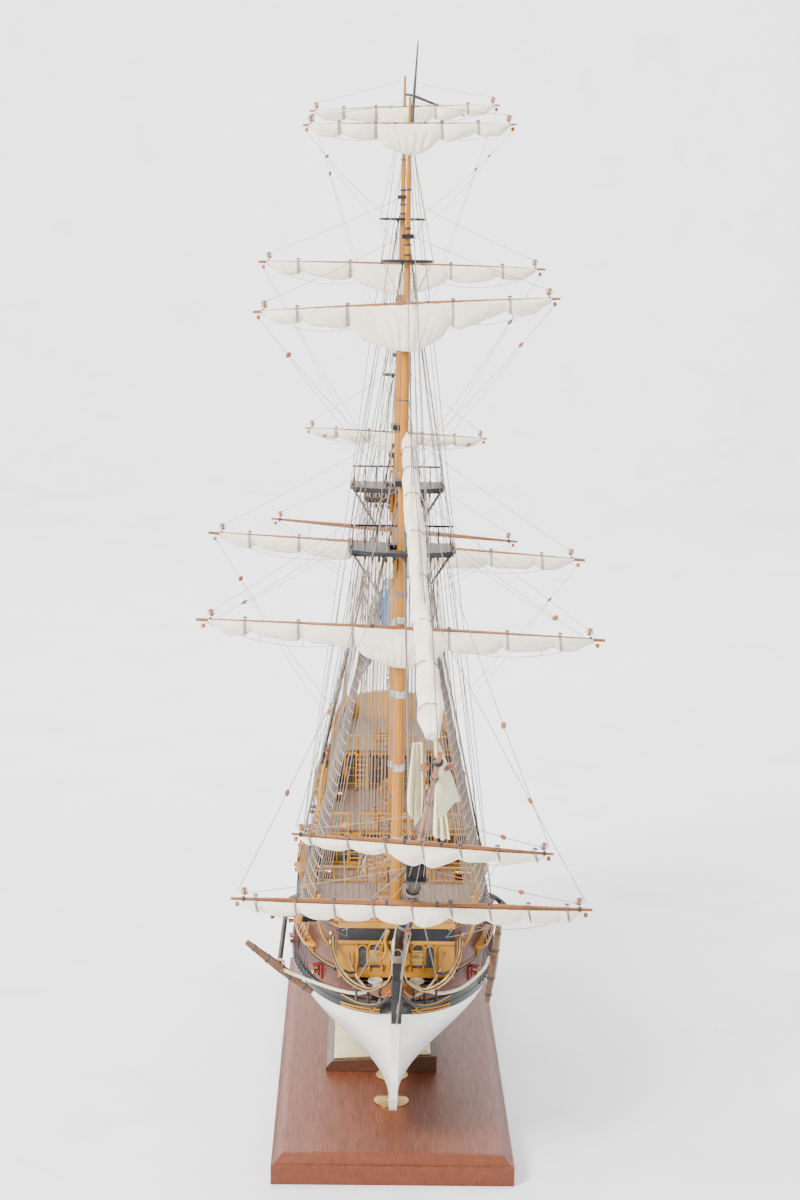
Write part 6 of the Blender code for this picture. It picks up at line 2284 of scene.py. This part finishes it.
def make_beakhead():
    """Platform grating, curved head rails with their timbers and the rope coils on the platform."""
    shape = Shape()
    z = 0.1292
    outline = [(-0.0240, BULKHEAD_Y - 0.0035), (0.0240, BULKHEAD_Y - 0.0035), (0.0150, -0.2040),
               (0.0060, -0.2200), (-0.0060, -0.2200), (-0.0150, -0.2040)]
    shape.add(plate([(x, y, z) for x, y in outline], (0, 0, 1), 0.0011), 3)
    for k in range(13):
        y = lerp(BULKHEAD_Y - 0.006, -0.2175, k / 12)
        half = lerp(0.0228, 0.0058, clamp((BULKHEAD_Y - 0.0035 - y) / 0.031))
        shape.add(box((0, y, z + 0.0008), (2 * half, 0.0010, 0.0007)), 4)
    for sign in (-1, 1):
        outer = smooth_path([(sign * 0.0385, -0.1880, 0.1560), (sign * 0.0370, -0.1985, 0.1475),
                             (sign * 0.0290, -0.2120, 0.1385), (sign * 0.0165, -0.2260, 0.1370),
                             (sign * 0.0062, -0.2375, 0.1455), (sign * 0.0030, -0.2405, 0.1520)], 8)
        last = len(outer) - 1
        shape.add(tube(outer, [lerp(0.0015, 0.0010, k / last) for k in range(last + 1)], 10), 2)
        for shift, thick, mark in (((0, -0.0006, 0.0012), 0.00062, 0),
                                   ((-sign * 0.0011, -0.0004, 0.0002), 0.0005, 1),
                                   ((sign * 0.0010, -0.0008, -0.0003), 0.0005, 0)):
            shape.add(tube([p + Vector(shift) for p in outer], thick, 6), mark)
        lower = smooth_path([(sign * 0.0290, -0.1905, 0.1480), (sign * 0.0255, -0.2020, 0.1395),
                             (sign * 0.0170, -0.2150, 0.1330), (sign * 0.0085, -0.2270, 0.1335),
                             (sign * 0.0034, -0.2350, 0.1400)], 8)
        shape.add(tube(lower, 0.0008, 8), 4)
        shape.add(tube([p + Vector((0, -0.0004, 0.0006)) for p in lower], 0.00045, 6), 0)
        third = smooth_path([(sign * 0.0330, -0.2010, 0.1245), (sign * 0.0225, -0.2130, 0.1235),
                             (sign * 0.0120, -0.2260, 0.1275), (sign * 0.0034, -0.2370, 0.1370)], 8)
        shape.add(tube(third, 0.0010, 8), 2)
        shape.add(tube([p + Vector((0, -0.0004, 0.0008)) for p in third], 0.0005, 6), 1)
        for t in (0.30, 0.52, 0.74):
            a, b, c = (path[int(t * (len(path) - 1))] for path in (outer, lower, third))
            shape.add(tube(smooth_path([a, b.lerp(a, 0.3) + Vector((sign * 0.001, 0, 0)), b, c], 4),
                           0.0009, 6), 2)
        for k in range(4):
            middle = Vector((sign * 0.0125, -0.1990 + 0.0004 * k, z + 0.0018 + 0.0007 * k))
            coil = [middle + Vector((0.0040 * math.cos(a), 0.0040 * math.sin(a), 0))
                    for a in (2 * math.pi * i / 16 for i in range(17))]
            shape.add(tube(coil, 0.00055, 6), 5)
        # hawse hole: an ochre ring round a black disc, the disc painted shade inside the hole
        hawse = side_at(-0.2020, 0.1180, 0.0004)
        for radius, mark in ((0.0027, 1), (0.0019, 2)):
            shape.add(lathe([(radius, -0.0010), (radius, 0.0007 + 0.0004 * mark)],
                            (sign * (hawse.x + 0.0005), hawse.y, 0.1180), (sign * 0.7, -0.7, 0), 14), mark)
        bits = Vector((sign * 0.0270, -0.1870, 0.1300))
        shape.add(beam(bits, bits + Vector((0, 0, 0.018)), 0.0022, 0.0022, (0, 1, 0)), 1)
    piece("beakhead_rails", shape, ["gilt", "ochre", "black", "deck", "fitting", "hemp"])


def make_bulkhead_front():
    """Beakhead bulkhead dressing: black frieze, ochre mouldings, gilded arches and doors, and dark panels
    that are painted shade of recesses.
    """
    low, high = (Vector(p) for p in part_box("beakhead_bulkhead"))
    face = low.y
    half = high.x
    shape = Shape()

    def bar(z, height, mark, depth=0.0010, x=0.0, width=None):
        shape.add(box((x, face - depth / 2, z), (width or 2 * half, depth, height)), mark)

    top = high.z
    bar(top - 0.0016, 0.0032, 1, 0.0016)
    bar(top - 0.0072, 0.0078, 0, 0.0008)
    bar(top - 0.0122, 0.0020, 1, 0.0014)
    bar(low.z + 0.0012, 0.0022, 1, 0.0014)
    for sign in (-1, 1):
        z = top - 0.0215
        # dark backing panel round the windows: painted shade of the recess they sit in
        bar(z, 0.0135, 2, 0.0006, sign * 0.0165, 0.0150)
        # a gilt window, then beside it a narrow dark panel that is painted shade of a recess
        for x, width, mark in ((0.0134, 0.0074, 3), (0.0204, 0.0052, 2)):
            bar(z - 0.0004, 0.0094, mark, 0.0012, sign * x, width)
            arch = arc((sign * x, face - 0.0014, z + 0.0046), width / 2 + 0.0003, 0, 180, 11)
            shape.add(tube([(sign * x + width / 2 + 0.0003, face - 0.0014, z - 0.0052), *arch,
                            (sign * x - width / 2 - 0.0003, face - 0.0014, z - 0.0052)], 0.00055, 6), 1)
        for row in (-0.0030, 0.0, 0.0030):
            bar(z + row, 0.0005, 1, 0.0016, sign * 0.0134, 0.0074)
        leaf = [(0.0036, 0.0), (0.0062, 0.0030), (0.0088, 0.0038), (0.0078, 0.0074), (0.0092, 0.0112),
                (0.0062, 0.0104), (0.0048, 0.0140), (0.0034, 0.0100)]
        shape.add(plate([(sign * x, face - 0.0022, z - 0.0076 + h) for x, h in leaf], (0, -1, 0),
                        0.0012), 1)
        for x in (0.0085, 0.0163, 0.0240):
            shape.add(lathe([(0.0007, 0), (0.0008, 0.002), (0.0005, 0.004), (0.0005, 0.014),
                             (0.0008, 0.0165)],
                            (sign * x, face - 0.0009, top - 0.0300), sides=10), 1)
        shape.add(tube(smooth_path([(sign * 0.0048, face - 0.0014, 0.1620),
                                    (sign * 0.0068, face - 0.0018, 0.1560),
                                    (sign * 0.0060, face - 0.0020, 0.1490),
                                    (sign * 0.0084, face - 0.0018, 0.1430)], 5),
                       [0.0009, *([0.0013] * 14), 0.0008], 8), 1)
    balustrade(shape, (-half + 0.001, low.y + 0.0012, top), (-0.0075, low.y + 0.0012, top), 0.0062, 6,
               mark=1)
    balustrade(shape, (0.0095, low.y + 0.0012, top), (half - 0.001, low.y + 0.0012, top), 0.0062, 6, mark=1)
    piece("beakhead_dressing", shape, ["black", "ochre", "iron", "gilt"], bevel=0.00012)


def make_bow_sides():
    """Bow timbers beside the bulkhead, catheads, timberheads, carved strips and eye bolts."""
    shape = Shape()
    for sign in (-1, 1):
        root = Vector((sign * 0.0330, -0.1700, FORECASTLE_RAIL - 0.0010))
        tip = Vector((sign * 0.0600, -0.1920, FORECASTLE_RAIL + 0.0030))
        shape.add(beam(root, tip, 0.0036, 0.0036), 0)
        shape.add(beam(tip - (tip - root) * 0.06, tip, 0.0044, 0.0044), 1)
        knee = side_at(-0.176, 0.150, 0.0)
        shape.add(tube(smooth_path([(sign * knee.x, knee.y, 0.1480),
                                    (sign * (knee.x + 0.0040), -0.1800, 0.1560),
                                    tip - Vector((sign * 0.012, -0.008, 0.002))], 6), 0.0011, 8), 1)
        for k in range(9):
            y = lerp(-0.180, -0.078, k / 8)
            p = side_at(y, FORECASTLE_RAIL, -0.0011)
            shape.add(lathe([(0.0011, 0), (0.0011, 0.0028), (0.0007, 0.0034), (0.0013, 0.0040),
                             (0.0013, 0.0054),
                             (0.0006, 0.0060)], (sign * p.x, y, FORECASTLE_RAIL + 0.0010), sides=8), 1)
        for y, z in ((-0.178, 0.1560), (-0.178, 0.1505), (-0.148, 0.1565)):
            p = side_at(y, z, 0.0004)
            n = side_normal(station_at(y, z), z)
            shape.add(lathe([(0.0014, -0.0006), (0.0016, 0.0002), (0.0008, 0.0011)],
                            (sign * p.x, p.y, z), (sign * n.x, n.y, 0), 12), 2)
        anchor_bed = side_at(-0.118, 0.150, 0.0012)
        shape.add(box((sign * anchor_bed.x, -0.118, 0.150), (0.0022, 0.0220, 0.0060)), 0)
    piece("bow_timbers", shape, ["black", "ochre", "gilt"], bevel=0.0002)


CABLE_ROUTES = {
    "starboard": ((-0.0155, -0.2075, 0.1300), (-0.0240, -0.2020, 0.1262), (-0.0360, -0.1925, 0.1250),
                  (-0.0480, -0.1870, 0.1270), (-0.0590, -0.1850, 0.1305), (-0.0695, -0.1835, 0.1345)),
    "port": ((0.0175, -0.2065, 0.1300), (0.0270, -0.2000, 0.1262), (0.0380, -0.1925, 0.1262),
             (0.0470, -0.1865, 0.1300), (0.0540, -0.1820, 0.1360), (0.0575, -0.1785, 0.1420)),
}


def make_anchor_cables():
    """Three-strand laid cable from each hawse hole to its anchor ring, clinched at the ring."""
    for side, route in CABLE_ROUTES.items():
        path = smooth_path(route, 12)
        shape = Shape().add(tube(path, 0.00100, 12, 3, 0.0052))
        end = path[-1]
        for k in range(4):
            back = path[-3 - 2 * k]
            ring = [back + Vector((0, 0.0012 * math.cos(a), 0.0012 * math.sin(a)))
                    for a in (2 * math.pi * i / 12 for i in range(13))]
            shape.add(tube(ring, 0.00028, 5), 1)
        shackle = [end + Vector((0.0004, 0.0022 * math.cos(a), 0.0022 * math.sin(a)))
                   for a in (2 * math.pi * i / 18 for i in range(19))]
        shape.add(tube(shackle, 0.00050, 6), 2)
        cable = piece(f"anchor_cable_laid_{side}", shape, ["pale_rope", "hemp", "iron"],
                      crease=80)
        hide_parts(f"anchor_cable_{side}")


def make_wale_strips():
    """Two thin ochre strips on the wale either side of the stem."""
    shape = Shape()
    for sign in (-1, 1):
        for lift in (0.0016, 0.0034):
            path = []
            for k in range(14):
                s = lerp(0.0015, 0.036, (k / 13) ** 1.6)
                z = wale_z(s) + lift
                p = side_offset(s, z, WALE_PROUD + 0.0004)
                path.append(Vector((sign * p.x, p.y, z)))
            shape.add(tube(path, 0.00055, 6), 0)
    piece("wale_strips", shape, ["ochre"])


def make_stock_bands():
    shape = Shape()
    for side in SIDES:
        low, high = (Vector(p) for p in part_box(f"anchor_stock_{side}"))
        if side == "starboard":
            axis = Vector((-0.038, -0.003, 0.031)).normalized()
        else:
            axis = Vector((0.006, -0.002, 0.05)).normalized()
        center = (low + high) / 2
        for distance in (-0.020, -0.009, 0.009, 0.020):
            reach = 2 * (0.0027 - 0.0020 * abs(distance) / 0.052)
            place = center + axis * distance
            turn = axis.to_track_quat("Z", "Y").to_matrix()
            shape.add(box(place, (reach, reach, 0.0014), turn), 0)
        for k in range(5):
            ring = [center + Vector((0.0030 * math.cos(a), 0.004 + 0.0008 * k, 0.0030 * math.sin(a)))
                    for a in (2 * math.pi * i / 12 for i in range(13))]
            shape.add(tube(ring, 0.00042, 5), 1)
    piece("stock_bands", shape, ["iron", "hemp"], bevel=0.0001)


# ---------------------------------------------------------------- stern

def stern_turn():
    up = Vector((0, COUNTER_RAKE, 1)).normalized()
    return Matrix((Vector((1, 0, 0)), up.cross(Vector((1, 0, 0))) * 1, up)).transposed()


def make_stern_windows():
    """Stern lights between pilasters, with mouldings above and below, and a lantern."""
    high = Vector(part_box("transom")[1])
    turn = stern_turn()
    out = turn @ Vector((0, 1, 0))
    if out.y < 0:
        out = -out
    shape = Shape()

    def face(x, z, proud=0.0):
        return Vector((x, stern_y(z) + 0.0028, z)) + out * proud

    for z, tall in ((0.1600, 0.0130), (0.1830, 0.0085)):
        wide = side_point(1, z).x - 0.004
        count = 6 if tall > 0.01 else 5
        for k in range(count):
            x = lerp(-wide, wide, (k + 0.5) / count)
            width = 2 * wide / count * 0.66
            shape.add(box(face(x, z, 0.0002), (width, 0.0010, tall), turn), 2)
            for dx in (-0.5, 0, 0.5):
                shape.add(box(face(x + dx * width, z, 0.0007), (0.0005, 0.0010, tall), turn), 1)
            for dz in (-0.5, -0.17, 0.17, 0.5):
                shape.add(box(face(x, z, 0.0007) + turn @ Vector((0, 0, dz * tall)),
                              (width, 0.0010, 0.0005), turn), 1)
        for k in range(count + 1):
            x = lerp(-wide, wide, k / count)
            shape.add(box(face(x, z, 0.0006), (0.0017, 0.0020, tall + 0.003), turn), 0)
    for z, height, mark in ((0.1500, 0.0020, 0), (0.1700, 0.0020, 0), (0.1770, 0.0018, 3),
                            (0.1905, 0.0018, 0),
                            (0.1395, 0.0016, 3), (0.1275, 0.0016, 0)):
        wide = side_point(1, z).x + 0.0010
        shape.add(box(face(0, z, 0.0010), (2 * wide, 0.0024, height), turn), mark)
    for k in range(11):
        x = lerp(-0.9, 0.9, k / 10) * (side_point(1, 0.145).x - 0.002)
        shape.add(lathe([(0.0016, 0), (0.0012, 0.0008), (0.0005, 0.0012)], face(x, 0.1445, 0.0), out,
                        12), 3)
    crown_z = high.z
    arch = [Vector((x, high.y - 0.0012, crown_z - 0.0006 - 0.0085 * (x / 0.040) ** 2)) for x in
            (lerp(-0.036, 0.036, i / 20) for i in range(21))]
    shape.add(tube(arch, 0.0013, 8), 3)
    lamp = Vector((0, high.y + 0.004, crown_z + 0.002))
    shape.add(tube(smooth_path([face(0, 0.193, 0.001), lamp + Vector((0, 0.003, -0.006)), lamp], 6),
                   0.0007, 8), 4)
    shape.add(lathe([(0.0010, 0), (0.0030, 0.0008), (0.0030, 0.0014)], lamp, sides=6), 5)
    shape.add(lathe([(0.0026, 0), (0.0034, 0.0060)], lamp + Vector((0, 0, 0.0014)), sides=6), 2)
    shape.add(lathe([(0.0040, 0), (0.0036, 0.0008), (0.0012, 0.0034), (0.0006, 0.0046)],
                    lamp + Vector((0, 0, 0.0074)), sides=6), 5)
    piece("stern_lights", shape, ["ochre", "ochre", "glass", "gilt", "iron", "brass"],
          bevel=0.00012)


def make_quarter_galleries():
    """Windowed galleries on each quarter with tapered feet and black roofs."""
    for side, sign in SIDES.items():
        shape = Shape()
        profile = [(0.1370, 0.0004), (0.1440, 0.0042), (0.1480, 0.0058), (0.1500, 0.0064), (0.1660, 0.0062),
                   (0.1700, 0.0066), (0.1720, 0.0058), (0.1790, 0.0040), (0.1850, 0.0006)]
        rings = []
        for k in range(15):
            y = lerp(0.182, 0.236, k / 14)
            ends = smoothstep(min(k, 14 - k) / 1.5)
            ring = []
            for z, d in profile:
                p = side_at(y, z, d * (0.25 + 0.75 * ends))
                ring.append(Vector((sign * p.x, y, z)))
            for z, d in reversed(profile):
                p = side_at(y, z, -0.0006)
                ring.append(Vector((sign * p.x, y, z)))
            rings.append(ring)
        points, faces = loft(rings)
        first = len(shape.faces)
        shape.add((points, faces))
        size = 2 * len(profile)
        for index, item in enumerate(faces[:-2]):
            if {i % size for i in item} <= {5, 6, 7, 8}:
                shape.marks[first + index] = 1
        for k in range(4):
            y = lerp(0.1905, 0.2275, k / 3)
            p = side_at(y, 0.158, 0.0064)
            n = side_normal(station_at(y, 0.158), 0.158)
            tangent = Vector((-n.y, n.x, 0))
            turn = Matrix((tangent, n, Vector((0, 0, 1)))).transposed()
            flip = Matrix.Diagonal((sign, 1, 1))

            def put(offset, size3, mark):
                corners, quads = box(Vector((p.x, y, 0.158)) + turn @ Vector(offset), size3, turn)
                shape.add(([flip @ c for c in corners], quads), mark)

            put((0, 0, 0), (0.0072, 0.0008, 0.0120), 2)
            for dx in (-1, 0, 1):
                put((dx * 0.0036, 0.0005, 0), (0.0007, 0.0008, 0.0124), 0)
            for dz in (-3, -1, 1, 3):
                put((0, 0.0005, dz * 0.0020), (0.0076, 0.0008, 0.0005), 0)
        for z, d in ((0.1495, 0.0068), (0.1675, 0.0069)):
            line = []
            for k in range(15):
                y = lerp(0.182, 0.236, k / 14)
                ends = smoothstep(min(k, 14 - k) / 1.5)
                p = side_at(y, z, d * (0.25 + 0.75 * ends))
                line.append(Vector((sign * p.x, y, z)))
            shape.add(tube(line, 0.0008, 8), 3)
        piece(f"quarter_gallery_{side}", shape, ["ochre", "black", "glass", "gilt"],
              crease=30)


def make_rudder_irons():
    """Gudgeon straps on the post and pintle straps that swing with the rudder."""
    fixed, moving = Shape(), Shape()
    rake = STERN_POST_RAKE * (COUNTER_Z - KEEL_TOP) / (COUNTER_Z - 0.0325)
    for z in (0.046, 0.064, 0.083, 0.102):
        y = STERN_FOOT_Y + 0.0055 + rake * (z - 0.0325)
        for sign in (-1, 1):
            fixed.add(box((sign * (KEEL_HALF_WIDTH + 0.0002), y - 0.0042, z), (0.0005, 0.0086, 0.0013)), 0)
            moving.add(box((sign * (0.0017 + 0.0002), y + 0.0072, z + 0.0016), (0.0005, 0.0104, 0.0013)), 0)
        moving.add(lathe([(0.0004, -0.0010), (0.0004, 0.0020)], (0, y + 0.00075, z), sides=8), 0)
    piece("rudder_gudgeons", fixed, ["brass"], bevel=0.00008)
    piece("rudder_pintles", moving, ["brass"], "rudder", bevel=0.00008)


def make_nameplate_details():
    """Blank plate's four screws."""
    low, high = (Vector(p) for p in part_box("nameplate_plate"))
    rise = (high.z - low.z) * 0.86 / (high.x - low.x)
    shape = Shape()

    def top_at(x):
        return high.z - rise * (high.x - x) if high.z > low.z else high.z

    corners = [(low.x + 0.003, low.y + 0.004), (high.x - 0.003, low.y + 0.004),
               (high.x - 0.003, high.y - 0.004), (low.x + 0.003, high.y - 0.004)]
    for x, y in corners:
        shape.add(lathe([(0.0011, -0.0002), (0.0010, 0.0003), (0.0004, 0.0005)], (x, y, top_at(x)),
                        (-rise, 0, 1), 12), 0)
    piece("nameplate_screws", shape, ["brass"])


def make_hull_details():
    make_screens()
    make_deck_rails()
    make_hatches()
    make_deck_gear()
    make_boat_inside()
    make_stem_armour()
    make_gammoning()
    make_beakhead()
    make_bulkhead_front()
    make_bow_sides()
    make_anchor_cables()
    make_wale_strips()
    make_stock_bands()
    make_stern_windows()
    make_quarter_galleries()
    make_rudder_irons()
    make_nameplate_details()


# ---------------------------------------------------------------- assembly

def main():
    make_camera()
    make_floor()
    make_lights()
    finish_frame_parts()
    make_hull_skin()
    make_wales()
    make_topsides()
    make_cap_rails()
    make_side_mouldings()
    make_gunports()
    make_square_sails()
    make_jib()
    make_jib_foot()
    make_ensign()
    make_rigging()
    make_hull_details()


main()
